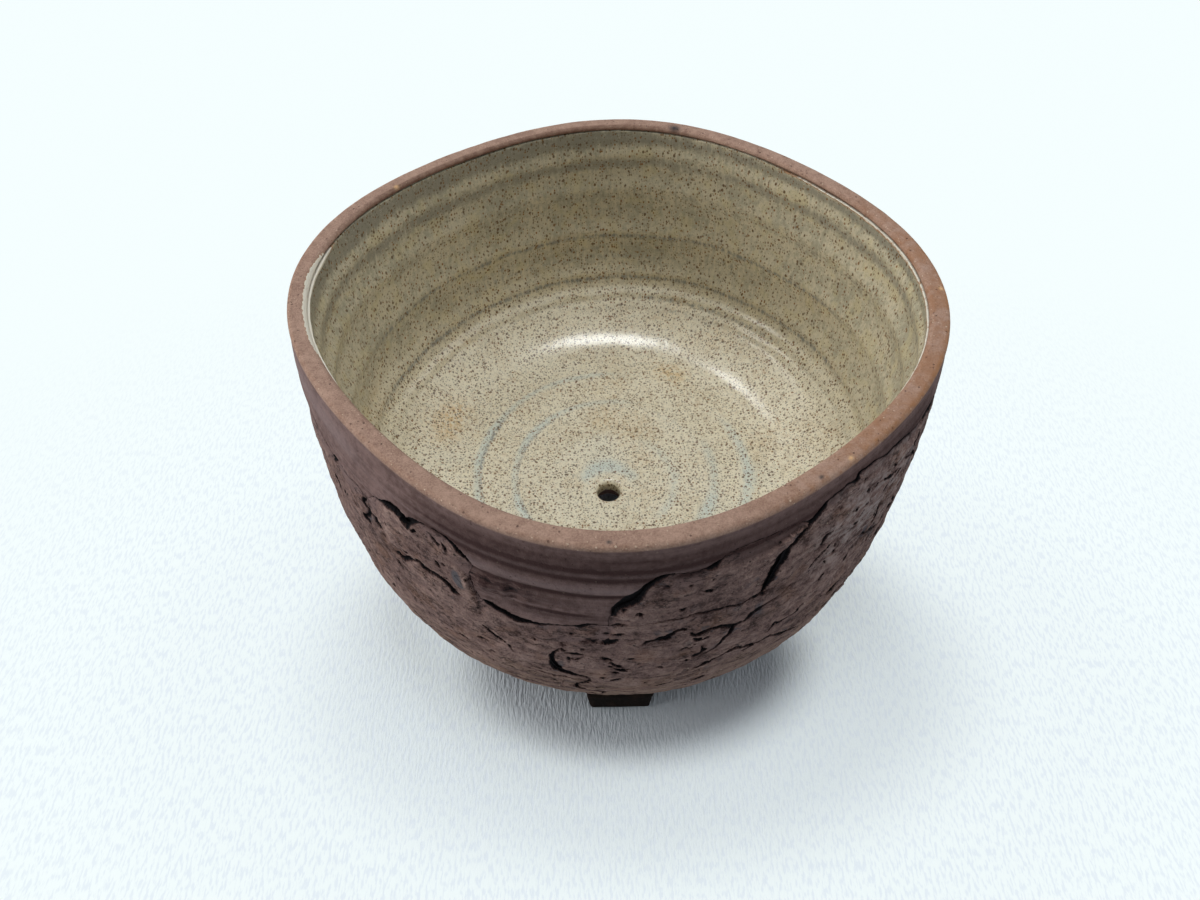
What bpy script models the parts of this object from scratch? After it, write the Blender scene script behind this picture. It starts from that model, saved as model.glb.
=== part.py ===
# Softly squared stoneware jardiniere: thrown bowl, glaze lining, torn bark skin and four slab feet.
# Metres, +Z up. The origin is on the table under the middle of the pot, with the front at -Y.
import math

import bmesh
import bpy
from mathutils import Vector, geometry

mm = 0.001

# Overall sizes of the pot
rim_radius = 85 * mm
pot_height = 100 * mm
foot_height = 9 * mm

# Thrown wall, from the base at 0 to the rim at 1
belly_swell = 1.0 * mm
base_taper = 11 * mm
taper_power = 5
rim_wall = 5.1 * mm
base_wall = 6.6 * mm
rim_rounding = 1.3 * mm
base_rounding = 2.0 * mm

# Plan, a circle drawn out at four corners, with the turn of each wave in degrees
corner_draw, corner_turn = 0.029, -4.6
oval_draw, oval_turn = 0.016, -8.8
skew_draw, skew_turn = 0.008, 32
plan_fade_power = 1.5

# Inside: floor, cove and drain hole
floor_rise = 9.9 * mm
floor_dish = 1.9 * mm
floor_radius = 46 * mm
cove_height = 27 * mm
hole_bore = 7.5 * mm
hole_shift = Vector((-2.0, -7.0)) * mm
hole_lip = 1.6 * mm
centring_radius = 42 * mm

# Glaze lining
glaze_thickness = 0.8 * mm
glaze_line_drop = 1.8 * mm
glaze_collar = 3.0 * mm

# Bark skin
skin_thickness = 1.7 * mm
skin_gap = 0.45 * mm
grid_angle = 6
grid_height = 7 * mm
edge_clearance = 2.4 * mm

# Slab feet, one under each corner, standing a little proud of the base's edge
foot_top_width = 21 * mm
foot_bottom_width = 18.5 * mm
foot_depth = 14 * mm
foot_proud = 2.5 * mm
foot_edge = 1.2 * mm
foot_angles = {"front": -89.5, "right": 0.5, "back": 90.5, "left": 180.5}

# Gap that touching pieces keep
joint_gap = 0.3 * mm

# Fineness of the turned pieces
around = 60
wall_rings = 17
cove_rings = 7
lining_rings = 5
floor_rings = 4
rounding_rings = 3
smooth_limit = math.radians(40)

# A plate's sharp corner moves at most 1 / this share further than its sides
corner_share = 0.6

# Colour, roughness and metallic value of each clay and glaze
stoneware = ((0.33, 0.205, 0.155, 1), 0.85, 0)
lining_glaze = ((0.40, 0.35, 0.22, 1), 0.22, 0)
bark_clay = ((0.165, 0.115, 0.105, 1), 0.9, 0)
foot_clay = ((0.03, 0.02, 0.017, 1), 0.8, 0)


def clear_scene():
    for thing in list(bpy.data.objects):
        bpy.data.objects.remove(thing)


def coloured(thing, look):
    colour, roughness, metallic = look
    material = bpy.data.materials.new(thing.name + "_surface")
    material.use_nodes = True
    shader = material.node_tree.nodes["Principled BSDF"]
    shader.inputs["Base Color"].default_value = colour
    shader.inputs["Roughness"].default_value = roughness
    shader.inputs["Metallic"].default_value = metallic
    material.diffuse_color = colour
    thing.data.materials.append(material)


def add_object(name, form, look):
    bmesh.ops.recalc_face_normals(form, faces=form.faces)
    mesh = bpy.data.meshes.new(name)
    form.to_mesh(mesh)
    form.free()
    mesh.shade_smooth()
    mesh.set_sharp_from_angle(angle=smooth_limit)
    thing = bpy.data.objects.new(name, mesh)
    bpy.context.collection.objects.link(thing)
    coloured(thing, look)
    return thing


# Height on the wall: a share of 0 is the base and 1 is the rim
def height_at(share):
    return foot_height + share * (pot_height - foot_height)


def share_at(height):
    return (height - foot_height) / (pot_height - foot_height)


def wall_radius(share):
    share = min(max(share, 0), 1)
    return rim_radius + belly_swell * math.sin(math.pi * share) - base_taper * (1 - share) ** taper_power


def wall_thickness(share):
    return base_wall + (rim_wall - base_wall) * share


def wave(angle, count, draw, turn):
    return draw * math.cos(count * (angle - math.radians(turn)))


def plan_factor(angle, height):
    fade = min(max(share_at(height), 0), 1) ** plan_fade_power
    drawn = wave(angle, 4, corner_draw, corner_turn)
    drawn += wave(angle, 2, oval_draw, oval_turn)
    drawn += wave(angle, 3, skew_draw, skew_turn)
    return 1 + fade * drawn


# The inner rings settle round the drain hole, which is cut off the pot's axis
def ring_centre(radius):
    share = min(radius / centring_radius, 1)
    return hole_shift * (1 - share * share * (3 - 2 * share))


def place(angle, radius, height, stand=0.0):
    reach = radius * plan_factor(angle, height) + stand
    centre = ring_centre(radius)
    return Vector((centre.x + reach * math.cos(angle), centre.y + reach * math.sin(angle), height))


def arc(centre, across, up, first, last, steps):
    turns = [math.radians(first + (last - first) * step / steps) for step in range(steps + 1)]
    return [(centre[0] + across * math.cos(turn), centre[1] + up * math.sin(turn)) for turn in turns]


def offset_section(section, distance):
    moved = []
    for index, (radius, height) in enumerate(section):
        before = section[max(index - 1, 0)]
        after = section[min(index + 1, len(section) - 1)]
        along = Vector((after[0] - before[0], after[1] - before[1])).normalized()
        moved.append((radius + along.y * distance, height - along.x * distance))
    return moved


# Inner face of the glaze, from the drain hole up to the glaze line
def lining_section():
    bore = hole_bore / 2
    hole_height = foot_height + floor_rise - floor_dish
    floor_height = foot_height + floor_rise
    cove_top = floor_height + cove_height
    glaze_line = pot_height - glaze_line_drop
    section = [(bore, hole_height - glaze_collar)]
    section += arc((bore + hole_lip, hole_height - hole_lip), hole_lip, hole_lip, 180, 90, rounding_rings)
    for step in range(1, floor_rings):
        share = step / floor_rings
        radius = bore + hole_lip + share * (floor_radius - bore - hole_lip)
        section.append((radius, hole_height + floor_dish * share))
    wall_foot = wall_radius(share_at(cove_top)) - wall_thickness(share_at(cove_top))
    section += arc((floor_radius, cove_top), wall_foot - floor_radius, cove_height, -90, 0, cove_rings)
    for step in range(1, lining_rings + 1):
        height = cove_top + (glaze_line - cove_top) * step / lining_rings
        share = share_at(height)
        section.append((wall_radius(share) - wall_thickness(share), height))
    return section


# Closed section of the thrown bowl, starting under the drain hole and running out along the base
def bowl_section():
    seat = offset_section(lining_section(), glaze_thickness + joint_gap)
    bore = seat[0][0]
    base_edge = wall_radius(0)
    base_step = (base_edge - bore) / floor_rings
    section = [(bore + base_step * step, foot_height) for step in range(floor_rings)]
    section += arc((base_edge - base_rounding, foot_height + base_rounding),
                   base_rounding, base_rounding, -90, 0, rounding_rings)
    first_share = share_at(foot_height + base_rounding)
    last_share = share_at(pot_height - rim_rounding)
    for step in range(1, wall_rings):
        share = first_share + (last_share - first_share) * step / wall_rings
        section.append((wall_radius(share), height_at(share)))
    rim_edge = wall_radius(1)
    lip_height = pot_height - rim_rounding
    section += arc((rim_edge - rim_rounding, lip_height), rim_rounding, rim_rounding, 0, 90, rounding_rings)
    inner_edge = rim_edge - wall_thickness(1)
    section += arc((inner_edge + rim_rounding, lip_height), rim_rounding, rim_rounding, 90, 180,
                   rounding_rings)
    ledge = pot_height - glaze_line_drop + joint_gap
    section.append((inner_edge, ledge))
    section.append((seat[-1][0], ledge))
    section += reversed(seat)
    return section


def turned_solid(name, section, look):
    form = bmesh.new()
    rings = []
    for radius, height in section:
        angles = [math.tau * step / around for step in range(around)]
        rings.append([form.verts.new(place(angle, radius, height)) for angle in angles])
    for inner, outer in zip(rings, rings[1:] + rings[:1]):
        for step in range(around):
            following = (step + 1) % around
            form.faces.new((inner[step], inner[following], outer[following], outer[step]))
    return add_object(name, form, look)


# Cracks in the bark skin: angle in degrees, percent up the wall, opening in millimetres
cracks = {
    "top_left": ((-172, 75, 0), (-165, 77, 0), (-157, 79, 0), (-150, 80, 0), (-144, 78, 0), (-138, 77, 0)),
    "top_front_left": ((-138, 77, 0), (-134, 84, 0), (-130, 86, 0), (-125, 85, 0), (-121, 88, 0),
                       (-117, 87, 0), (-114, 82, 0), (-115, 77, 0), (-114, 71, 0), (-113, 67, 1.2)),
    "top_front_right": ((-92, 70, 1.2), (-91, 75, 0), (-89, 80, 0), (-88, 84, 0), (-86, 88, 0), (-84, 90, 0),
                        (-80, 90, 0), (-77, 87, 0), (-74, 92, 0), (-68, 93, 0), (-63, 92, 0), (-59, 90, 1.4)),
    "top_right_front": ((-59, 90, 1.4), (-57, 93, 0), (-53, 94, 0), (-47, 95, 0), (-41, 93, 0), (-34, 91, 0),
                        (-28, 89, 0.8)),
    "top_right": ((-28, 89, 0.8), (-20, 86, 0), (-11, 82, 0), (-3, 85, 0), (6, 84, 0), (16, 87, 0.8)),
    "top_right_back": ((16, 87, 0.8), (24, 89, 0), (33, 87, 0), (43, 90, 0), (52, 88, 0), (61, 85, 0.8)),
    "top_back": ((61, 85, 0.8), (70, 80, 0), (80, 82, 0), (90, 87, 0), (101, 86, 0), (111, 81, 0),
                 (119, 84, 0.8)),
    "top_left_back": ((119, 84, 0.8), (128, 88, 0), (138, 87, 0), (147, 90, 0), (157, 87, 0), (168, 82, 0),
                      (180, 78, 0), (-172, 75, 0)),
    "left_shoulder": ((-138, 77, 0), (-137, 73, 1.6), (-140, 68, 1.2), (-136, 65, 1.2), (-132, 63, 1.2)),
    "brow_left": ((-132, 63, 1.2), (-129, 64, 1.6), (-125, 68, 2.2), (-121, 68, 2.4), (-118, 66, 2),
                  (-113, 67, 1.2)),
    "brow_middle": ((-113, 67, 1.2), (-109, 66, 1.4), (-105, 65, 1.4), (-100, 65, 1.2), (-96, 67, 1),
                    (-92, 70, 1.2)),
    "brow_right": ((-92, 70, 1.2), (-87, 70, 1), (-81, 69, 1), (-74, 69, 1), (-68, 68, 1.8)),
    "long_slit": ((-68, 68, 1.8), (-67, 71, 2.4), (-65, 76, 2.8), (-64, 82, 2.8), (-62, 86, 2.4),
                  (-59, 90, 1.4)),
    "brow_end": ((-68, 68, 1.8), (-64, 68, 1.2), (-59, 67, 1)),
    "nose": ((-92, 70, 1.2), (-91, 65, 1.4), (-92, 61, 1.8), (-94, 58, 1.8)),
    "eye_left": ((-94, 58, 1.8), (-90, 57, 1.6), (-86, 58, 2), (-83, 60, 2), (-81, 63, 1.4), (-79, 60, 1.4),
                 (-76, 61, 1.6), (-74, 59, 1.8), (-71, 57, 1.6)),
    "eye_right": ((-71, 57, 1.6), (-68, 57, 1.2), (-65, 60, 1.2), (-62, 64, 1), (-59, 67, 1)),
    "hook": ((-94, 58, 1.8), (-97, 56, 1.6), (-101, 52, 2), (-102, 45, 2.6), (-101, 40, 2.4), (-98, 35, 2),
             (-95, 31, 1.2)),
    "cheek": ((-71, 57, 1.6), (-73, 52, 1.4), (-75, 46, 1.2), (-75, 41, 1), (-77, 35, 1.4)),
    "chin": ((-95, 31, 1.2), (-90, 32, 1.4), (-84, 30, 1), (-77, 35, 1.4)),
    "jaw_right": ((-77, 35, 1.4), (-73, 37, 1.6), (-68, 40, 1.8), (-64, 36, 1.8), (-59, 32, 1.2),
                  (-52, 31, 1), (-44, 34, 1), (-36, 31, 1)),
    "jaw_left": ((-131, 40, 1), (-125, 36, 1.2), (-118, 38, 1.6), (-111, 35, 1), (-103, 33, 1),
                 (-95, 31, 1.2)),
    "side_right": ((-59, 67, 1), (-54, 65, 1), (-50, 62, 0.8), (-44, 63, 0.8), (-38, 58, 1), (-31, 56, 1)),
    "left_belly": ((-132, 63, 1.2), (-136, 56, 1.2), (-134, 49, 1), (-137, 44, 1), (-131, 40, 1)),
    "left_jaw": ((-131, 40, 1), (-138, 36, 1), (-147, 41, 1.2), (-156, 36, 1), (-165, 40, 1), (-173, 36, 1)),
    "left_back_high": ((-172, 75, 0), (-170, 67, 1), (-174, 59, 1.2), (-171, 52, 1)),
    "left_back_low": ((-171, 52, 1), (-176, 45, 1.2), (-173, 36, 1)),
    "left_back_brow": ((-171, 52, 1), (-179, 49, 1), (172, 53, 1.2), (163, 48, 1), (153, 52, 1), (143, 47, 1),
                       (130, 53, 1.2)),
    "back_left_high": ((119, 84, 0.8), (121, 75, 1), (117, 67, 1.4), (121, 58, 1)),
    "back_left_brow": ((121, 58, 1), (126, 54, 1), (130, 53, 1.2)),
    "back_brow": ((64, 56, 1), (73, 53, 1.2), (82, 57, 1), (92, 54, 1), (103, 58, 1.4), (112, 55, 1),
                  (121, 58, 1)),
    "back_left_low": ((130, 53, 1.2), (134, 45, 1), (129, 37, 1.2), (133, 29, 1), (130, 20, 1), (134, 12, 1),
                      (131, 4, 0)),
    "back_right_low": ((64, 56, 1), (68, 47, 1.2), (63, 38, 1), (69, 30, 1), (66, 20, 1), (71, 12, 1),
                       (68, 5, 0)),
    "back_right_high": ((61, 85, 0.8), (58, 76, 1), (63, 67, 1.2), (64, 56, 1)),
    "right_back_brow": ((64, 56, 1), (55, 52, 1), (46, 55, 1.2), (37, 49, 1), (28, 53, 1), (20, 48, 1)),
    "right_back_high": ((16, 87, 0.8), (19, 78, 1.2), (14, 69, 1), (18, 59, 1), (20, 48, 1)),
    "right_back_low": ((20, 48, 1), (16, 40, 1), (18, 27, 1)),
    "right_front_high": ((-28, 89, 0.8), (-31, 80, 1.2), (-27, 71, 1), (-32, 64, 1.2), (-31, 56, 1)),
    "right_front_low": ((-31, 56, 1), (-35, 48, 1), (-32, 40, 1.2), (-36, 31, 1)),
    "right_jaw": ((-36, 31, 1), (-28, 34, 1), (-19, 30, 1.2), (-9, 33, 1), (2, 29, 1), (11, 32, 1),
                  (18, 27, 1)),
    "foot_left": ((-173, 36, 1), (-177, 29, 1), (-172, 20, 1.2), (-176, 12, 1), (-173, 4, 0)),
    "foot_front_left": ((-131, 40, 1), (-134, 31, 1), (-129, 23, 1.2), (-133, 14, 1), (-130, 4, 0)),
    "foot_front": ((-95, 31, 1.2), (-98, 24, 1), (-93, 18, 1.2), (-97, 11, 1), (-94, 5, 0)),
    "foot_front_right": ((-36, 31, 1), (-39, 23, 1), (-34, 15, 1.2), (-37, 4, 0)),
    "foot_right": ((18, 27, 1), (22, 20, 1), (17, 12, 1), (20, 4, 0)),
    "hem_left": ((-173, 4, 0), (-160, 3, 0), (-146, 5, 0), (-130, 4, 0)),
    "hem_front_left": ((-130, 4, 0), (-112, 3, 0), (-94, 5, 0)),
    "hem_front_right": ((-94, 5, 0), (-75, 3, 0), (-55, 5, 0), (-37, 4, 0)),
    "hem_right": ((-37, 4, 0), (-18, 3, 0), (2, 5, 0), (20, 4, 0)),
    "hem_right_back": ((20, 4, 0), (36, 5, 0), (52, 3, 0), (68, 5, 0)),
    "hem_back": ((68, 5, 0), (90, 3, 0), (110, 5, 0), (131, 4, 0)),
    "hem_left_back": ((131, 4, 0), (150, 5, 0), (170, 3, 0), (-173, 4, 0)),
}

# Plates of the skin, each named by the cracks that it lies between, in order round its edge
plates = {
    "bark_left_side": "top_left left_shoulder left_belly left_jaw left_back_low left_back_high",
    "bark_front_left_shoulder": "top_front_left brow_left left_shoulder",
    "bark_front_right_shoulder": "top_front_right long_slit brow_right",
    "bark_right_front_shoulder": "top_right_front right_front_high side_right brow_end long_slit",
    "bark_front_left_belly": "brow_left brow_middle nose hook jaw_left left_belly",
    "bark_front_middle": "eye_left cheek chin hook",
    "bark_front_brow": "brow_right brow_end eye_right eye_left nose",
    "bark_right_front_belly": "eye_right side_right right_front_low jaw_right cheek",
    "bark_right_side": "top_right right_back_high right_back_low right_jaw right_front_low right_front_high",
    "bark_right_back_shoulder": "top_right_back back_right_high right_back_brow right_back_high",
    "bark_back_shoulder": "top_back back_left_high back_brow back_right_high",
    "bark_left_back_shoulder": "top_left_back left_back_high left_back_brow back_left_brow back_left_high",
    "bark_left_foot": "left_jaw foot_front_left hem_left foot_left",
    "bark_front_left_foot": "jaw_left foot_front hem_front_left foot_front_left",
    "bark_front_right_foot": "chin jaw_right foot_front_right hem_front_right foot_front",
    "bark_right_foot": "right_jaw foot_right hem_right foot_front_right",
    "bark_right_back_belly": "right_back_brow back_right_low hem_right_back foot_right right_back_low",
    "bark_back_belly": "back_brow back_left_brow back_left_low hem_back back_right_low",
    "bark_left_back_belly": "left_back_brow left_back_low foot_left hem_left_back back_left_low",
}


def same_place(first, second):
    return (first[0] - second[0]) % 360 == 0 and first[1] == second[1]


# Closed outline of a plate, walked from crack to crack with the angles kept running on
def chained_outline(names):
    lines = [list(cracks[name]) for name in names]
    joins_next = any(same_place(lines[0][-1], point) for point in (lines[1][0], lines[1][-1]))
    walked = lines[0] if joins_next else lines[0][::-1]
    for line in lines[1:]:
        walked += line[1:] if same_place(walked[-1], line[0]) else line[::-1][1:]
    outline = [walked[0]]
    for angle, percent, opening in walked[1:-1]:
        while angle - outline[-1][0] > 180:
            angle -= 360
        while angle - outline[-1][0] < -180:
            angle += 360
        outline.append((angle, percent, opening))
    return outline


def divided_outline(outline):
    points = []
    for first, second in zip(outline, outline[1:] + outline[:1]):
        pieces = max(1, math.ceil(abs(second[0] - first[0]) / grid_angle))
        for step in range(pieces):
            share = step / pieces
            points.append([a + (b - a) * share for a, b in zip(first, second)])
    return points


# Half of each crack's opening comes off the plate on either side of it
def drawn_in(flat, openings):
    total = sum(a.x * b.y - b.x * a.y for a, b in zip(flat, flat[1:] + flat[:1]))
    inward = 1 if total > 0 else -1
    moved = []
    for index, point in enumerate(flat):
        before = (point - flat[index - 1]).normalized()
        after = (flat[(index + 1) % len(flat)] - point).normalized()
        along = (before + after).normalized()
        stretch = 1 / max(along.dot(after), corner_share)
        side = Vector((-along.y, along.x)) * inward
        moved.append(point + side * stretch * max(openings[index] / 2, joint_gap))
    return moved


def is_inside(point, outline):
    crossings = 0
    for a, b in zip(outline, outline[1:] + outline[:1]):
        if (a.y > point.y) != (b.y > point.y):
            crossings += point.x < a.x + (point.y - a.y) / (b.y - a.y) * (b.x - a.x)
    return crossings % 2 == 1


def edge_distance(point, outline):
    distances = []
    for a, b in zip(outline, outline[1:] + outline[:1]):
        nearest = geometry.intersect_point_line(point, a, b)
        share = min(max(nearest[1], 0), 1)
        distances.append((point - a.lerp(b, share)).length)
    return min(distances)


def grid_inside(outline):
    step_x = math.radians(grid_angle) * rim_radius
    low_x = min(point.x for point in outline)
    high_x = max(point.x for point in outline)
    low_y = min(point.y for point in outline)
    high_y = max(point.y for point in outline)
    found = []
    for column in range(math.ceil(low_x / step_x), math.ceil(high_x / step_x)):
        for row in range(math.ceil(low_y / grid_height), math.ceil(high_y / grid_height)):
            point = Vector((column * step_x, row * grid_height))
            if is_inside(point, outline) and edge_distance(point, outline) > edge_clearance:
                found.append(point)
    return found


# A plate is laid out flat, cut into triangles, and lifted onto the wall as an inner and an outer face
def bark_plate(name, crack_names):
    outline = divided_outline(chained_outline(crack_names))
    corners = [(math.radians(angle) * rim_radius, height_at(percent / 100)) for angle, percent, _ in outline]
    flat = drawn_in([Vector(corner) for corner in corners], [opening * mm for _, _, opening in outline])
    ring = [(step, (step + 1) % len(flat)) for step in range(len(flat))]
    sheet = geometry.delaunay_2d_cdt(flat + grid_inside(flat), ring, [], 1, 1e-7)
    points, edges, triangles = sheet[0], sheet[1], sheet[2]
    form = bmesh.new()
    layers = []
    for stand in (skin_gap, skin_gap + skin_thickness):
        layer = []
        for point in points:
            radius = wall_radius(share_at(point.y))
            layer.append(form.verts.new(place(point.x / rim_radius, radius, point.y, stand)))
        layers.append(layer)
    used = {}
    for triangle in triangles:
        for layer in layers:
            form.faces.new([layer[corner] for corner in triangle])
        for a, b in zip(triangle, triangle[1:] + triangle[:1]):
            used[frozenset((a, b))] = used.get(frozenset((a, b)), 0) + 1
    back, front = layers
    for a, b in edges:
        if used.get(frozenset((a, b))) == 1:
            form.faces.new((back[a], back[b], front[b], front[a]))
    return add_object(name, form, bark_clay)


def slab_foot(name, angle):
    form = bmesh.new()
    corners = []
    for height, width in ((0, foot_bottom_width), (foot_height - joint_gap, foot_top_width)):
        inset = (foot_top_width - width) / 2
        for x, y in ((-1, 0), (1, 0), (1, 1), (-1, 1)):
            corners.append(form.verts.new((x * width / 2, y * (foot_depth - 2 * inset), height)))
    bottom, top = corners[:4], corners[4:]
    form.faces.new(bottom)
    form.faces.new(top)
    for step in range(4):
        following = (step + 1) % 4
        form.faces.new((bottom[step], bottom[following], top[following], top[step]))
    foot = add_object(name, form, foot_clay)
    turn = math.radians(angle)
    reach = wall_radius(0) + foot_proud
    foot.location = (reach * math.cos(turn), reach * math.sin(turn), 0)
    foot.rotation_euler.z = turn + math.pi / 2
    edge = foot.modifiers.new("Soft edges", "BEVEL")
    edge.width = foot_edge
    edge.segments = 2
    return foot


clear_scene()
turned_solid("thrown_bowl", bowl_section(), stoneware)
lining = lining_section()
turned_solid("glaze_lining", lining + offset_section(lining, glaze_thickness)[::-1], lining_glaze)
for plate_name, crack_list in plates.items():
    bark_plate(plate_name, crack_list.split())
for side, foot_angle in foot_angles.items():
    slab_foot("foot_" + side, foot_angle)
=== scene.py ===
# Stoneware jardiniere: a thrown bowl with a speckled glaze lining, a torn bark skin and four slab feet.
import itertools
import math

import bmesh
import bpy
import numpy as np
from mathutils import Matrix, Vector, geometry, kdtree


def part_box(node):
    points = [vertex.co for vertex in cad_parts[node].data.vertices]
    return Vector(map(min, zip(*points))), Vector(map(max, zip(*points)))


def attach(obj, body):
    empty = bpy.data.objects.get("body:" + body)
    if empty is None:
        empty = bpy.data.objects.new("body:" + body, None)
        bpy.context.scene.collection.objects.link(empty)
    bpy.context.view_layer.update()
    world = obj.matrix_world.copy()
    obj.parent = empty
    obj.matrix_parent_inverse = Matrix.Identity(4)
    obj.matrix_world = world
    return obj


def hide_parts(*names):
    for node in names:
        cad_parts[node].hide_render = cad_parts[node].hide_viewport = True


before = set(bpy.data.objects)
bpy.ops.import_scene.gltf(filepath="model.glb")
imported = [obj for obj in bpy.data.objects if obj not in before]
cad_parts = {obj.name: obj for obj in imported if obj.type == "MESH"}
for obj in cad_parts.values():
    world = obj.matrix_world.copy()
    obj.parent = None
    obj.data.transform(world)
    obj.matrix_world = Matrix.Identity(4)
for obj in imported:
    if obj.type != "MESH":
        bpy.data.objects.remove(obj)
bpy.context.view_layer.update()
mm = 0.001
coarser = 1.0

bowlLow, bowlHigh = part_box("thrown_bowl")
pot = {
    "base": bowlLow.z,
    "rim": bowlHigh.z,
    "rimRadius": 85 * mm,
    "bellySwell": 1.0 * mm,
    "baseTaper": 11 * mm,
    "taperPower": 5,
    "rimWall": 5.1 * mm,
    "baseWall": 6.6 * mm,
    "waves": ((4, 0.029, -4.6), (2, 0.016, -8.8), (3, 0.008, 32)),  # count, draw and turn in degrees
    "waveFade": 1.5,
    "holeShift": (-2.0 * mm, -7.0 * mm),
    "centring": 42 * mm,
}
fullTurn = math.tau * pot["rimRadius"]
# Large odd factors that scatter the noise's lattice points
lattice = {"axes": (73856093, 19349663, 83492791), "seed": 9973, "mixer": 1274126177, "shift": 5.37}


def say(text):
    print("jardiniere:", text)


def ease(value):
    value = np.clip(value, 0, 1)
    return value * value * (3 - 2 * value)


# A soft bell, with its middle and half width in millimetres
def hump(value, centre, width):
    return np.exp(-((value - centre * mm) / (width * mm)) ** 2)


# From 0 to 1: inside a range of degrees, with soft ends
def inRange(degrees, first, last, soft=9):
    middle, half = (first + last) / 2, (last - first) / 2
    away = np.abs((degrees - middle + 180) % 360 - 180)
    return 1 - ease((away - half + soft) / soft)


# Soft rings: the height or radius, half width and strength of each, and its two angles unless it is whole
def ringsOf(rows, level, degrees=0, soft=9):
    total = 0
    for at, width, strength, *reach in rows:
        ring = strength * hump(level, at, width)
        total = total + (ring * inRange(degrees, *reach, soft) if reach else ring)
    return total


def shareAt(height):
    return np.clip((height - pot["base"]) / (pot["rim"] - pot["base"]), 0, 1)


def wallRadius(height):
    share = shareAt(height)
    swell = pot["bellySwell"] * np.sin(np.pi * share)
    return pot["rimRadius"] + swell - pot["baseTaper"] * (1 - share) ** pot["taperPower"]


def wallThickness(height):
    return pot["baseWall"] + (pot["rimWall"] - pot["baseWall"]) * shareAt(height)


def planFactor(angle, height):
    drawn = sum(draw * np.cos(count * (angle - math.radians(turn))) for count, draw, turn in pot["waves"])
    return 1 + shareAt(height) ** pot["waveFade"] * drawn


# The inner rings settle round the drain hole, which is cut off the pot's axis
def placed(angle, radius, height, stand=0.0):
    angle, radius, height, stand = np.broadcast_arrays(angle, radius, height, stand)
    reach = radius * planFactor(angle, height) + stand
    settled = 1 - ease(radius / pot["centring"])
    x = pot["holeShift"][0] * settled + reach * np.cos(angle)
    y = pot["holeShift"][1] * settled + reach * np.sin(angle)
    return np.stack((x, y, height), -1)


# Smooth lattice noise from -1 to 1, with blobs of about the given size
def grain(points, size, seed):
    spot = points / np.asarray(size) + lattice["shift"] * seed
    low = np.floor(spot).astype(np.int64)
    part = ease(spot - low)
    total = 0
    for step in itertools.product((0, 1), repeat=3):
        key = seed * lattice["seed"]
        for axis, factor in enumerate(lattice["axes"]):
            key = key ^ (low[..., axis] + step[axis]) * factor
        key = (key ^ key >> 13) * lattice["mixer"] & 0x7FFFFFFF
        key = (key ^ key >> 15) & 0xFFFF
        weight = np.prod(np.where(step, part, 1 - part), axis=-1)
        total = total + weight * (key / 0x7FFF - 1)
    return total


def layered(points, size, seed, layers=3):
    total = 0
    for layer in range(layers):
        total = total + grain(points, np.asarray(size) / 2 ** layer, seed + layer) / 2 ** layer
    return total / (2 - 0.5 ** (layers - 1))


# The skin is laid out flat, as metres round the wall and up it, and on a cylinder its noise has no seam
def onCylinder(flat):
    turn = flat[..., 0] / pot["rimRadius"]
    return np.stack((np.cos(turn) * pot["rimRadius"], np.sin(turn) * pot["rimRadius"], flat[..., 1]), -1)


def degreesOf(flat):
    return np.degrees(flat[:, 0] / pot["rimRadius"])


# Soft round spots on the flat skin, each with its angle, height, radius and strength
def spotsOn(rows, degrees, height, squash=1):
    total = 0
    for turn, up, size, strength in rows:
        across = (degrees - turn) * math.radians(1) * pot["rimRadius"]
        away = np.hypot(across, (height - up * mm) * squash)
        total = total + strength * hump(away, 0, size)
    return total


def addPiece(name, points, faces, material, shades, sharp=50):
    mesh = bpy.data.meshes.new(name)
    mesh.from_pydata(points.tolist(), [], faces)
    for shade, values in shades.items():
        layer = mesh.attributes.new(shade, "FLOAT", "POINT")
        layer.data.foreach_set("value", np.ascontiguousarray(values, dtype=np.float32).ravel())
    mesh.materials.append(material)
    mesh.shade_smooth()
    mesh.set_sharp_from_angle(angle=math.radians(sharp))
    piece = bpy.data.objects.new(name, mesh)
    bpy.context.collection.objects.link(piece)
    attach(piece, "root")
    return piece


# Faces of a closed ring of rows and columns, turned outwards where the rows go up the outside
def ringFaces(rows, columns):
    index = np.arange(rows * columns).reshape(rows, columns)
    up = np.roll(index, -1, 0)
    quads = np.stack((index, np.roll(index, -1, 1), np.roll(up, -1, 1), up), -1)
    return quads.reshape(-1, 4).tolist()


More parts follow.
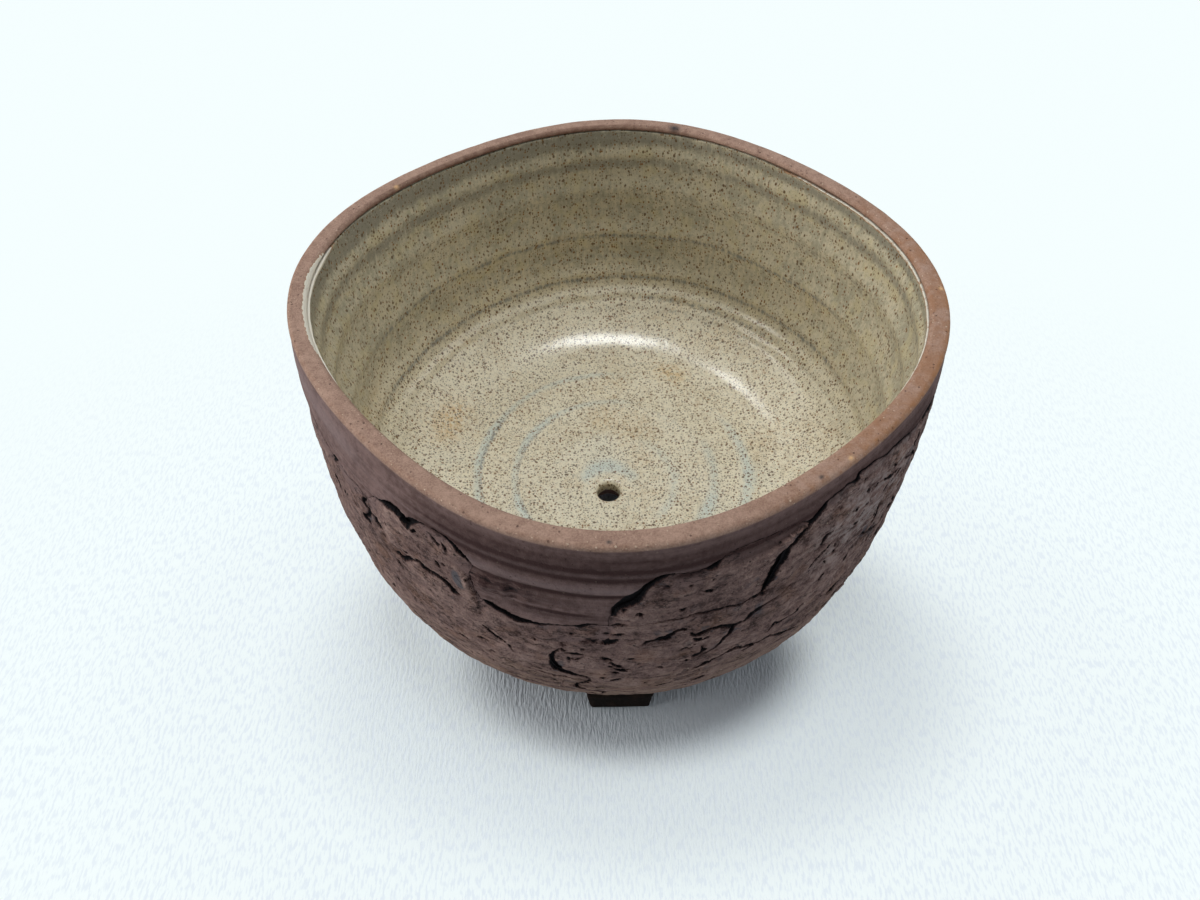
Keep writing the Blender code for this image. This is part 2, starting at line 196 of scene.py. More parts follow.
# One socket of a material's nodes: sums on it add Math nodes, and node() adds any other node
class Tint:
    def __init__(self, tree, socket=None):
        self.tree = tree
        self.socket = socket

    def node(self, kind, settings, sockets, output=0):
        made = self.tree.nodes.new("ShaderNode" + kind)
        for name, value in settings.items():
            setattr(made, name, value)
        for name, value in sockets.items():
            if isinstance(value, Tint):
                self.tree.links.new(value.socket, made.inputs[name])
            else:
                made.inputs[name].default_value = value
        return Tint(self.tree, made.outputs[output] if made.outputs else None)

    def other(self, output):
        return Tint(self.tree, self.socket.node.outputs[output])

    def sum(self, operation, first, second=0.0):
        return self.node("Math", {"operation": operation}, {0: first, 1: second})

    def __add__(self, value):
        return self.sum("ADD", self, value)

    __radd__ = __add__

    def __sub__(self, value):
        return self.sum("SUBTRACT", self, value)

    def __rsub__(self, value):
        return self.sum("SUBTRACT", value, self)

    def __mul__(self, value):
        return self.sum("MULTIPLY", self, value)

    __rmul__ = __mul__

    def between(self, low, high):
        sockets = {"Value": self, "From Min": low, "From Max": high}
        return self.node("MapRange", {"interpolation_type": "SMOOTHSTEP"}, sockets)

    def most(self, value):
        return self.sum("MAXIMUM", self, value)

    def awayFrom(self, value):
        return self.sum("ABSOLUTE", self - value)

    # Flat ledges with a steep step from each to the next
    def ledges(self):
        return self.sum("FLOOR", self) + self.sum("FRACT", self).between(0.75, 1)

    def stretched(self, scale):
        return self.node("VectorMath", {"operation": "MULTIPLY"}, {0: self, 1: scale})

    def noise(self, size, detail=3, rough=0.55):
        sockets = {"Vector": self, "Scale": 1 / size, "Detail": detail, "Roughness": rough}
        return self.node("TexNoise", {}, sockets)

    def blend(self, mask, first, second):
        return self.node("Mix", {"data_type": "RGBA"}, {0: mask, 6: first, 7: second}, 2)

    # A colour with coats of other colours over it, each through its own mask
    def coated(self, colour, *coats):
        for mask, coat in coats:
            colour = self.blend(mask, colour, coat)
        return colour

    def shade(self, name):
        return self.node("Attribute", {"attribute_name": name}, {}, "Fac")

    # Specks of one size in one cell out of a share of the cells, with a random number for each as well
    def specks(self, cell, share, radius):
        cells = self.node("TexVoronoi", {}, {"Vector": self, "Scale": 1 / cell})
        luck = self.node("SeparateColor", {}, {"Color": cells.other("Color")})
        size = (luck.other("Green") * 0.6 + 0.4) * radius
        mask = (size - cells).between(0, 0.35 * radius)
        return mask * luck.between(1 - share, 1 - share + 0.02), luck.other("Blue")

    # The shader of a finish: gleam is its specular level, and depth that of the relief as a bump
    def shader(self, finish, colour, roughness, relief):
        bump = self.node("Bump", {}, {"Height": relief, "Distance": finish["depth"], "Strength": 1.0})
        return self.node("BsdfPrincipled", {}, {"Base Color": colour, "Roughness": roughness, "Normal": bump,
                                                "Specular IOR Level": finish["gleam"]})


def newMaterial(name):
    material = bpy.data.materials.new(name)
    material.use_nodes = True
    material.node_tree.nodes.clear()
    start = Tint(material.node_tree)
    return material, start.node("TexCoord", {}, {}, "Object")


clay = {
    "rim": (0.462, 0.302, 0.232, 1),
    "rimDeep": (0.265, 0.160, 0.122, 1),
    "orange": (0.400, 0.190, 0.088, 1),
    "band": (0.250, 0.162, 0.148, 1),
    "bandDeep": (0.140, 0.085, 0.076, 1),
    # Painted light: a paler purple-grey for the sheen on the band's rounded rings and its brighter left side
    "paintedBandLight": (0.300, 0.222, 0.218, 1),
    # Dark brown clay for specks, the cracked patch and the halo of wash, also used as painted shade under the
    # rim and in the band's creases
    "darkClayAndShade": (0.056, 0.028, 0.026, 1),
    "wash": (0.006, 0.005, 0.006, 1),
    "grog": (0.70, 0.54, 0.41, 1),
    "blueSpot": (0.030, 0.034, 0.042, 1),
    "buffSpot": (0.80, 0.50, 0.26, 1),
    # Dark brown of the rim's inner lip and ledge: stained clay, and painted shade on the back and in the
    # ledge
    "lip": (0.150, 0.078, 0.050, 1),
    "roughness": 0.84,
    "gleam": 0.09,
    "depth": 0.34 * mm,
}


# Raw stoneware: sandy and pinkish on the rim, purple-brown on the thrown band, black in the cracks
def stonewareMaterial():
    material, spot = newMaterial("rawStoneware")
    cloud = spot.noise(13 * mm)
    mottle = spot.noise(1.8 * mm, 4, 0.6)
    rings = spot.stretched((0.05, 0.05, 1)).noise(1.1 * mm, 3)
    sand = spot.noise(0.42 * mm, 3, 0.7)
    rim = spot.coated(
        clay["rim"],
        ((mottle * 0.45 + cloud * 0.25 + sand * 0.60).between(0.50, 0.84), clay["rimDeep"]),
        (spot.shade("warm") * (cloud + mottle).between(0.7, 1.25), clay["orange"]))
    rough = spot.shade("rough")
    cracked = spot.stretched((0.35, 0.35, 1)).noise(1.9 * mm, 5, 0.62)
    band = spot.coated(
        clay["band"],
        ((rings * 0.35 + cloud * 0.35 + mottle * 0.4).between(0.45, 0.68), clay["bandDeep"]),
        # Darker under the rim on the front of the band and in its creases: partly a dark wash, partly painted
        # shade
        (spot.shade("darkClayAndShade") * (mottle * 0.7 + 0.62), clay["darkClayAndShade"]),
        (rough * cracked.between(0.46, 0.56), clay["darkClayAndShade"]),
        (rough * cracked.between(0.57, 0.62) * 0.9, clay["wash"]),
        # Painted light: paler where the band's rings catch a sheen, and on its left side
        ((spot.shade("paintedBandLight") * (rings + 0.4)).between(0, 1), clay["paintedBandLight"]))
    rimTop = spot.shade("rimTop")
    grog, grogTone = spot.specks(1.05 * mm, 0.55, 0.30)
    fleck, fleckTone = spot.specks(0.62 * mm, 0.42, 0.34)
    dark, darkTone = spot.specks(1.3 * mm, 0.45, 0.26)
    spill = spot.shade("spill") + (spot.noise(1.1 * mm, 4, 0.6) - 0.5) * 1.1
    ragged = spot.shade("wash") + (spot.noise(1.3 * mm, 4, 0.6) - 0.5) * 0.9
    colour = spot.coated(
        band,
        ((rimTop + (mottle - 0.5) * 0.6).between(0.2, 0.8), rim),
        (grog * grogTone.between(0.1, 1.1) * (0.12 + rimTop * 0.78), clay["grog"]),
        (fleck * fleckTone * rimTop * 0.6, clay["grog"]),
        (dark * darkTone * (0.35 + rimTop * 0.4), clay["darkClayAndShade"]),
        (spot.shade("blueSpot"), clay["blueSpot"]),
        # Dark inner lip: stained clay all round, and painted shade on the back and in the ledge under it
        ((spot.shade("lip") * (mottle * 0.9 + 0.5)).between(0, 1), clay["lip"]),
        (spill.between(0.44, 0.54), glaze["paleEdge"]),
        (spill.between(0.52, 0.62), glaze["pale"]),
        (spot.shade("buffSpot"), clay["buffSpot"]),
        (ragged.between(0.18, 0.62) * 0.8, clay["darkClayAndShade"]),
        (ragged.between(0.56, 0.86), clay["wash"]))
    relief = sand * 0.7 + mottle + rings * (1 - rimTop) * 0.5 - dark * 0.7 + grog * 0.3
    shader = spot.shader(clay, colour, clay["roughness"] - sand * 0.16, relief)
    spot.node("OutputMaterial", {}, {"Surface": shader})
    return material


bark = {
    "high": (0.405, 0.268, 0.228, 1),
    "middle": (0.238, 0.150, 0.131, 1),
    "deep": (0.085, 0.050, 0.045, 1),
    "belly": (0.420, 0.280, 0.205, 1),
    # Pale grey painted sheen: stands in for the glossy grey reflection on the skin's right front
    "paintedSkinSheen": (0.430, 0.350, 0.330, 1),
    "smear": (0.088, 0.098, 0.116, 1),
    "rust": (0.270, 0.140, 0.085, 1),
    "bellyLow": 20 * mm,
    "bellyHigh": 50 * mm,
    "bellySway": 22 * mm,
    "roughness": 0.86,
    "gleam": 0.07,
    "depth": 0.60 * mm,
}


# Bark skin: dry purple-brown clay, tan towards the belly's lower edge, with black wash in every tear
def barkMaterial():
    material, spot = newMaterial("barkSkin")
    cloud = spot.noise(15 * mm)
    mottle = spot.noise(2.6 * mm, 5, 0.65)
    strata = spot.stretched((0.12, 0.12, 1)).noise(1.3 * mm, 5, 0.6)
    fine = spot.noise(0.55 * mm, 4, 0.7)
    # The tone mixes random noise with the relief's height, which paints raised skin lighter and low skin
    # darker as light and shade
    tone = mottle * 0.50 + cloud * 0.20 + strata * 0.22 + fine * 0.30 + spot.shade("relief") * 0.10
    height = spot.node("SeparateXYZ", {}, {"Vector": spot}, "Z")
    low = 1 - (height + (cloud - 0.5) * bark["bellySway"]).between(bark["bellyLow"], bark["bellyHigh"])
    grog, grogTone = spot.specks(2.0 * mm, 0.30, 0.17)
    pit, pitTone = spot.specks(1.8 * mm, 0.50, 0.26)
    smear = spot.noise(4.5 * mm, 3).between(0.56, 0.68) * spot.shade("smear")
    slip = (spot.shade("slip") * 1.6 + mottle * 1.8 + fine * 0.8).between(1.95, 2.75)
    torn = spot.stretched((0.45, 0.45, 1)).noise(6 * mm, 6, 0.62)
    hair = 1 - torn.awayFrom(0.5).between(0.003, 0.015)
    hair = hair * spot.noise(9 * mm, 2).between(0.47, 0.56)
    flake = (spot.stretched((0.5, 0.5, 1)).noise(9 * mm, 5, 0.6) * 11).ledges()
    ragged = spot.shade("wash") + (spot.noise(1.4 * mm, 4, 0.6) - 0.5) * 0.9
    colour = spot.coated(
        bark["deep"],
        (tone.between(0.48, 0.60), bark["middle"]),
        (tone.between(0.58, 0.74), bark["high"]),
        (spot.noise(9 * mm, 3).between(0.52, 0.72) * 0.4, bark["rust"]),
        (low * strata.between(0.38, 0.60) * 0.7, bark["belly"]),
        ((spot.shade("thrown") + (mottle - 0.5) * 0.5).between(0.2, 0.8), clay["band"]),
        # The band's dark wash and painted shade under the rim, carried over the skin's thrown top
        (spot.shade("darkClayAndShade") * (mottle * 0.7 + 0.62), clay["darkClayAndShade"]),
        # Painted sheen along the pulled streaks of the skin's right front
        (spot.shade("paintedSkinSheen") * (strata * 0.6 + mottle * 0.6).between(0.52, 0.72), bark["paintedSkinSheen"]),
        (grog * grogTone.between(0.3, 0.7) * 0.8, clay["grog"]),
        (smear.most(slip) * 0.8, bark["smear"]),
        (ragged.between(0.18, 0.62) * 0.85, clay["darkClayAndShade"]),
        (ragged.between(0.56, 0.84).most(hair * 0.55).most(pit * pitTone * 0.85), clay["wash"]))
    relief = fine * 0.8 + mottle * 1.7 + strata * (low * 0.9 + 0.75) + grog * 0.3 + flake * 0.7
    relief = relief - pit * 0.9 - hair * 0.8
    shader = spot.shader(bark, colour, bark["roughness"] - fine * 0.20, relief)
    spot.node("OutputMaterial", {}, {"Surface": shader})
    return material


glaze = {
    "buff": (0.620, 0.552, 0.400, 1),
    "light": (0.760, 0.700, 0.530, 1),
    "olive": (0.425, 0.390, 0.285, 1),
    "straw": (0.590, 0.510, 0.310, 1),
    "grey": (0.245, 0.232, 0.186, 1),
    "cream": (0.960, 0.870, 0.685, 1),
    "stained": (0.600, 0.440, 0.250, 1),
    "milky": (0.690, 0.725, 0.655, 1),
    "blue": (0.200, 0.215, 0.220, 1),
    # Rust stains, in a gold bright enough to also paint a warm reflection on the glaze
    "rust": (0.700, 0.460, 0.200, 1),
    "pale": (0.760, 0.700, 0.590, 1),
    "paleEdge": (0.380, 0.200, 0.100, 1),
    "speck": (0.110, 0.058, 0.025, 1),
    "speckRust": (0.250, 0.115, 0.038, 1),
    "roughness": 0.10,
    "gleam": 0.5,
    "depth": 0.08 * mm,
}


# Glossy speckled glaze: buff and olive, cream on the floor, grey-blue where it breaks over the rings
def glazeMaterial():
    material, spot = newMaterial("speckledGlaze")
    cloud = spot.noise(15 * mm)
    run = spot.stretched((1, 1, 0.22)).noise(1.0 * mm, 4, 0.6)
    mottle = spot.noise(1.5 * mm, 4, 0.6)
    sand = spot.noise(0.36 * mm, 3, 0.65)
    floor = spot.shade("floor")
    stained = (mottle * 0.5 + cloud * 0.3 + sand * 0.4).between(0.56, 0.74)
    poolAndShade = spot.shade("poolAndShade") + (run - 0.5) * 0.8 + (mottle - 0.5) * 0.6
    milk = spot.shade("milk") * (mottle * 1.1 + sand * 0.5 + 0.1)
    breaking = spot.shade("streak") * (run * 3.4 - 0.95)
    grit = run * 0.4 + sand * 0.7
    tall = spot.stretched((1, 1, 0.72))
    fine, fineTone = tall.specks(0.72 * mm, 0.55 + floor * 0.42, 0.60)
    medium, mediumTone = tall.specks(1.35 * mm, 0.66 + floor * 0.25, 0.40)
    large = spot.specks(7.5 * mm, 0.16, 0.095)[0]
    edge = spot.shade("pale") * 1.1 + (mottle - 0.5) * 0.9
    colour = spot.coated(
        glaze["buff"],
        ((cloud * 0.45 + mottle * 0.45 + run * 0.24).between(0.49, 0.67), glaze["olive"]),
        (spot.noise(7 * mm, 3).between(0.50, 0.66) * 0.7, glaze["straw"]),
        (floor * 0.8, glaze["cream"]),
        (floor * stained * 0.55, glaze["stained"]),
        # Painted shade and light of the rings and rim: greyer in the hollows and under the rim, where the
        # glaze also lies thick, and paler on the rises
        (poolAndShade.between(0.14, 1.10) * 0.85, glaze["grey"]),
        (milk.between(0.12, 0.85), glaze["milky"]),
        # Rust stains, whose bright gold also paints a warm reflection
        (spot.shade("rust") * mottle.between(0.30, 0.62), glaze["rust"]),
        (breaking.between(0.10, 1.0) * 0.85, glaze["blue"]),
        (grit.between(0.53, 0.74) * 0.55, glaze["grey"]),
        ((1 - grit.between(0.34, 0.52)) * 0.5, glaze["light"]),
        (fine * (fineTone * 0.50 + 0.50),
         spot.blend(fineTone.between(0.2, 1.1), glaze["speck"], glaze["speckRust"])),
        (medium * 0.88, spot.blend(mediumTone.between(0.6, 1.2), glaze["speck"], glaze["speckRust"])),
        (large, glaze["speck"]),
        (edge.between(0.12, 0.34), glaze["paleEdge"]),
        (edge.between(0.34, 0.60), glaze["pale"]))
    relief = spot.noise(3.2 * mm, 2) * 0.7 + mottle * 0.24 + sand * 0.10 + medium * 0.06
    shader = spot.shader(glaze, colour, glaze["roughness"] + sand * 0.20, relief)
    spot.node("OutputMaterial", {}, {"Surface": shader})
    return material


footClayAndShade = {
    # Near-black: the dark clay made darker still as painted shade, where the feet stand in the pot's shadow
    "body": (0.005, 0.003, 0.002, 1),
    "worn": (0.018, 0.010, 0.007, 1),
    "roughness": 0.86,
    "gleam": 0.08,
    "depth": 0.16 * mm,
}


def footMaterial():
    material, spot = newMaterial("footClayAndShade")
    cloud = spot.noise(3.5 * mm, 4)
    fine = spot.noise(0.4 * mm, 3, 0.65)
    grog, tone = spot.specks(2.4 * mm, 0.12, 0.2)
    colour = spot.coated(
        footClayAndShade["body"],
        ((cloud * 0.7 + fine * 0.4).between(0.5, 0.75), footClayAndShade["worn"]),
        (grog * tone * 0.5, clay["grog"]))
    shader = spot.shader(footClayAndShade, colour, footClayAndShade["roughness"] - fine * 0.14, cloud * 1.4 + fine * 0.7)
    spot.node("OutputMaterial", {}, {"Surface": shader})
    return material


# Tears in the skin: angle in degrees, percent up the wall, opening in millimetres
tears = {
    "topLeft": ((-172, 75, 0), (-165, 77, 0), (-157, 78, 0), (-150, 77.5, 0.3), (-147.6, 78, 0.6),
                (-145.4, 77.5, 0.7), (-143.6, 77, 0.1), (-141, 77.5, 0), (-138, 76.5, 0)),
    "topFrontLeft": ((-138, 76.5, 0), (-135.5, 80.3, 0.2), (-132.6, 83.2, 0.6), (-129.7, 84.5, 1.4),
                     (-127.8, 84.4, 1), (-126.4, 83.2, 2), (-125.2, 84.7, 0.9), (-123.2, 86.2, 0.3),
                     (-120.8, 86.7, 0), (-118.2, 86.8, 0.25), (-116.4, 85.8, 0.45), (-115.4, 84.4, 0.60),
                     (-114.3, 83, 0.45), (-113.6, 80.1, 0.2), (-114.2, 76.4, 0), (-114, 72, 0),
                     (-113, 65.8, 0)),
    "topFrontRight": ((-92, 66, 0.2), (-91.9, 69.7, 0), (-91.5, 72.3, 0.6), (-90.9, 75.3, 1.2),
                      (-90.1, 77.1, 1.8), (-88.8, 78.8, 2.8), (-87.5, 81.9, 1.8), (-86.7, 84.4, 1.1),
                      (-86, 85.8, 0.7), (-84.7, 87.9, 0.65), (-83.3, 88.7, 0.4), (-82, 88.2, 0.2),
                      (-80.6, 87.4, 0), (-78, 87.4, 0.25), (-76.6, 88.2, 0.6), (-75.6, 90, 0.3),
                      (-73, 91.3, 0), (-66, 91.1, 0), (-62, 90, 0), (-59, 88.1, 0.6)),
    "topRightFront": ((-59, 88.1, 0.6), (-58.2, 89.2, 0.8), (-57.2, 90.4, 0.7), (-56.6, 91.2, 0.5),
                      (-55.7, 92.3, 0.25), (-53, 92.6, 0.25), (-51.1, 92.6, 0.3), (-49.4, 92.4, 0.55),
                      (-48.6, 93.7, 0.3), (-44.9, 93.5, 0.25), (-41.5, 91.9, 0.25), (-37, 91, 0.3),
                      (-32, 89.2, 0.25), (-28, 89, 0.3)),
    "topRight": ((-28, 89, 0.5), (-20, 86, 0.9), (-11, 82, 0.3), (-3, 85, 0), (6, 84, 0.5), (16, 87, 0.8)),
    "topRightBack": ((16, 87, 0.8), (24, 89, 0), (33, 87, 0), (43, 90, 0.9), (52, 88, 0.7), (61, 85, 0.8)),
    "topBack": ((61, 85, 0.8), (70, 80, 0.3), (80, 82, 0), (90, 87, 0.5), (101, 86, 1.5), (111, 81, 1.1),
                (119, 84, 0.8)),
    "topLeftBack": ((119, 84, 0.8), (128, 88, 0), (138, 87, 0), (147, 90, 0.3), (157, 87, 1.0),
                    (168, 82, 0.6), (180, 78, 0), (-172, 75, 0)),
    "leftShoulder": ((-138, 76.5, 0), (-138.8, 74.2, 0.9), (-137.6, 72.9, 1.2), (-137.4, 70.9, 0.8),
                     (-138.6, 68.2, 0.6), (-139.4, 66.7, 1.3), (-137.6, 64.9, 0.1), (-135, 63.2, 0),
                     (-132, 62.4, 0)),
    "browLeft": ((-132, 62.4, 0), (-130.4, 64.2, 0.72), (-129.5, 64.2, 2.16), (-128.5, 64.7, 1.32),
                 (-126.8, 66.9, 0.66), (-125.4, 68.2, 0.48), (-124.7, 68.6, 2.04), (-123.5, 67.4, 2.4),
                 (-121.2, 67.3, 1.56), (-119.2, 66.2, 1.8), (-118, 64.8, 1.32), (-117, 64.3, 0.36),
                 (-115.5, 64.9, 0), (-113, 65.8, 0)),
    "browMiddle": ((-113, 65.8, 0), (-111.9, 65.9, 0.7), (-110.7, 65.1, 1.2), (-109.3, 64.3, 1),
                   (-107.2, 63.3, 0.75), (-105.6, 62.5, 0.65), (-103.8, 62.7, 0.5), (-101.7, 63.5, 0.35),
                   (-98.2, 64.5, 0.3), (-96, 65.4, 0.5), (-94.6, 66.3, 0.3), (-92, 66, 0.2)),
    "browRight": ((-92, 66, 0.2), (-90.4, 67.8, 0.35), (-88, 67.6, 0.1), (-85.8, 67.9, 0.15),
                  (-83.1, 68.8, 0.3), (-81.2, 68.4, 0.25), (-78.6, 68.6, 0.3), (-76, 67.9, 0.45),
                  (-73.4, 67.6, 0.7), (-71.3, 67, 0.35), (-68, 67.4, 0.4)),
    "longSlit": ((-68, 67.4, 0.4), (-67.2, 68.4, 1.62), (-66.5, 71, 2.03), (-66, 74.4, 2.56),
                 (-65.2, 77.8, 3.1), (-64.6, 81.3, 2.9), (-63.6, 83.7, 2.4), (-62.3, 85.1, 2.3),
                 (-61.2, 86.4, 2.0), (-60.1, 87.5, 1.2), (-59, 88.1, 0.6)),
    "browEnd": ((-68, 67.4, 0.4), (-64, 67.6, 0), (-59, 65.3, 0.15)),
    "nose": ((-92, 66, 0.2), (-91.6, 62.3, 0), (-92.6, 59.2, 0), (-94, 58.1, 0.3), (-96, 56.8, 0.3)),
    "eyeLeft": ((-96, 56.8, 0.3), (-93, 56.4, 0), (-90, 56.2, 0), (-87, 56.9, 0.2), (-86, 58.1, 0.9),
                (-84.8, 58.8, 1.6), (-83.3, 58.8, 1.8), (-82.6, 60.7, 1.2), (-81.6, 62.1, 0.8),
                (-80.2, 62.1, 0.5), (-79.4, 60.3, 0), (-78.6, 58.1, 0.6), (-77.7, 58, 1),
                (-76.2, 58.8, 0.85), (-74.8, 58.8, 0.8), (-73.4, 57.7, 1.1), (-71.8, 56.3, 1.4),
                (-71, 56.4, 1.1)),
    "eyeRight": ((-71, 56.4, 1.1), (-69.8, 56.2, 0.6), (-68.9, 56.5, 0.7), (-68, 58.4, 1.1),
                 (-67, 59.3, 0.9), (-66, 59.9, 0.35), (-63.4, 61.5, 0.2), (-61.2, 63.8, 0.2),
                 (-59, 65.3, 0.15)),
    "hook": ((-96, 56.8, 0.3), (-97.8, 54.2, 0), (-99.6, 52.2, 0.2), (-101, 48.9, 0.45), (-101.5, 44.3, 1),
             (-101.2, 40.8, 1.9), (-100.3, 37.9, 2.2), (-98.5, 35.8, 1.8), (-96.6, 34.5, 1.1),
             (-95.5, 33.3, 0.4), (-95, 31, 0.2)),
    "cheek": ((-71, 56.4, 1.1), (-71.6, 54.2, 1), (-72, 51.5, 0.9), (-73, 48.9, 0.6), (-74.3, 46.4, 0.35),
              (-76.3, 42.7, 0.2), (-76.8, 38.8, 0), (-77, 35, 0.2)),
    "chin": ((-95, 31, 0.2), (-90, 32, 0), (-84, 30, 0.1), (-77, 35, 0.2)),
    "jawRight": ((-77, 35, 0.2), (-75.5, 35.7, 0.8), (-74.2, 37.4, 0.6), (-72.8, 38.6, 0.5),
                 (-71.7, 40.9, 0.9), (-69.5, 41.2, 0.9), (-66, 38.8, 0.4), (-62, 37, 0.5), (-58, 33, 0.7),
                 (-52, 31, 0.15), (-44, 34, 0.6), (-36, 31, 0.5)),
    "jawLeft": ((-131, 40, 0.05), (-125, 36, 0), (-118, 38, 0.3), (-111, 35, 0), (-103, 33, 0.3),
                (-95, 31, 0.2)),
    "sideRight": ((-59, 65.3, 0.15), (-56, 64.3, 0), (-52, 62.7, 0.1), (-48, 61.8, 0.15), (-44, 62.1, 0.3),
                  (-38, 56.8, 0.6), (-31, 56, 0.5)),
    "leftBelly": ((-132, 62.4, 0), (-135.3, 57, 0.08), (-135.6, 51, 0.10), (-134, 45.5, 0.06),
                  (-131, 40, 0.05)),
    "leftJaw": ((-131, 40, 0.05), (-138, 37, 0.05), (-147, 40, 0.6), (-156, 36, 0.4), (-165, 40, 0.8),
                (-173, 36, 0.4)),
    "leftBackHigh": ((-172, 75, 0), (-170, 67, 0.8), (-174, 59, 1.2), (-171, 52, 0.7)),
    "leftBackLow": ((-171, 52, 0.7), (-176, 45, 1.0), (-173, 36, 0.4)),
    "leftBackBrow": ((-171, 52, 0.7), (-179, 49, 1.1), (172, 53, 1.6), (163, 48, 0.9), (153, 52, 0.4),
                     (143, 47, 0.8), (130, 53, 1.2)),
    "backLeftHigh": ((119, 84, 0.6), (121, 75, 1.5), (117, 67, 2.0), (121, 58, 1.0)),
    "backLeftBrow": ((121, 58, 1.0), (126, 54, 1.2), (130, 53, 1.2)),
    "backBrow": ((64, 56, 0.7), (73, 53, 1.3), (82, 57, 0.6), (92, 54, 0.5), (103, 58, 1.7), (112, 55, 1.3),
                 (121, 58, 1.0)),
    "backLeftLow": ((130, 53, 1.2), (134, 45, 0.6), (129, 37, 1.0), (133, 29, 0.5), (130, 20, 0.3),
                    (134, 12, 0.2), (131, 4, 0)),
    "backRightLow": ((64, 56, 0.7), (68, 47, 1.2), (63, 38, 0.6), (69, 30, 0.4), (66, 20, 0.3),
                     (71, 12, 0.2), (68, 5, 0)),
    "backRightHigh": ((61, 85, 0.6), (58, 76, 0.9), (63, 67, 1.8), (64, 56, 0.7)),
    "rightBackBrow": ((64, 56, 0.7), (55, 52, 0.4), (46, 55, 1.5), (37, 49, 1.1), (28, 53, 0.4),
                      (20, 48, 0.7)),
    "rightBackHigh": ((16, 87, 0.6), (19, 78, 1.3), (14, 69, 0.9), (18, 59, 0.4), (20, 48, 0.7)),
    "rightBackLow": ((20, 48, 0.7), (16, 40, 0.9), (18, 27, 0.3)),
    "rightFrontHigh": ((-28, 89, 0.5), (-31, 80, 1.0), (-27, 71, 0.7), (-32, 64, 1.3), (-31, 56, 0.6)),
    "rightFrontLow": ((-31, 56, 0.6), (-35, 48, 0.9), (-32, 40, 0.5), (-36, 31, 0.5)),
    "rightJaw": ((-36, 31, 0.5), (-28, 34, 0.4), (-19, 30, 1.0), (-9, 33, 0.6), (2, 29, 0.4), (11, 32, 0.7),
                 (18, 27, 0.3)),
    "footLeft": ((-173, 36, 0.4), (-177, 29, 0.6), (-172, 20, 0.8), (-176, 12, 0.3), (-173, 4, 0)),
    "footFrontLeft": ((-131, 40, 0.05), (-132, 31, 0.2), (-129, 23, 0.7), (-133, 14, 0.3), (-130, 4, 0)),
    "footFront": ((-95, 31, 0.6), (-98, 24, 0.4), (-93, 18, 0.8), (-97, 11, 0.3), (-94, 5, 0)),
    "footFrontRight": ((-36, 31, 0.5), (-39, 23, 0.4), (-34, 15, 0.7), (-37, 4, 0)),
    "footRight": ((18, 27, 0.3), (22, 20, 0.6), (17, 12, 0.3), (20, 4, 0)),
    "hemLeft": ((-173, 4, 0), (-160, 3, 0), (-146, 5, 0), (-130, 4, 0)),
    "hemFrontLeft": ((-130, 4, 0), (-112, 3, 0), (-94, 5, 0)),
    "hemFrontRight": ((-94, 5, 0), (-75, 3, 0), (-55, 5, 0), (-37, 4, 0)),
    "hemRight": ((-37, 4, 0), (-18, 3, 0), (2, 5, 0), (20, 4, 0)),
    "hemRightBack": ((20, 4, 0), (36, 5, 0), (52, 3, 0), (68, 5, 0)),
    "hemBack": ((68, 5, 0), (90, 3, 0), (110, 5, 0), (131, 4, 0)),
    "hemLeftBack": ((131, 4, 0), (150, 5, 0), (170, 3, 0), (-173, 4, 0)),
}

# Plates of the skin, each named by the tears that it lies between, in order round its edge
plates = {
    "bark_left_side": "topLeft leftShoulder leftBelly leftJaw leftBackLow leftBackHigh",
    "bark_front_left_shoulder": "topFrontLeft browLeft leftShoulder",
    "bark_front_right_shoulder": "topFrontRight longSlit browRight",
    "bark_right_front_shoulder": "topRightFront rightFrontHigh sideRight browEnd longSlit",
    "bark_front_left_belly": "browLeft browMiddle nose hook jawLeft leftBelly",
    "bark_front_middle": "eyeLeft cheek chin hook",
    "bark_front_brow": "browRight browEnd eyeRight eyeLeft nose",
    "bark_right_front_belly": "eyeRight sideRight rightFrontLow jawRight cheek",
    "bark_right_side": "topRight rightBackHigh rightBackLow rightJaw rightFrontLow rightFrontHigh",
    "bark_right_back_shoulder": "topRightBack backRightHigh rightBackBrow rightBackHigh",
    "bark_back_shoulder": "topBack backLeftHigh backBrow backRightHigh",
    "bark_left_back_shoulder": "topLeftBack leftBackHigh leftBackBrow backLeftBrow backLeftHigh",
    "bark_left_foot": "leftJaw footFrontLeft hemLeft footLeft",
    "bark_front_left_foot": "jawLeft footFront hemFrontLeft footFrontLeft",
    "bark_front_right_foot": "chin jawRight footFrontRight hemFrontRight footFront",
    "bark_right_foot": "rightJaw footRight hemRight footFrontRight",
    "bark_right_back_belly": "rightBackBrow backRightLow hemRightBack footRight rightBackLow",
    "bark_back_belly": "backBrow backLeftBrow backLeftLow hemBack backRightLow",
    "bark_left_back_belly": "leftBackBrow leftBackLow footLeft hemLeftBack backLeftLow",
}
topLine = ("topLeft topFrontLeft browMiddle topFrontRight topRightFront topRight topRightBack "
           "topBack topLeftBack")

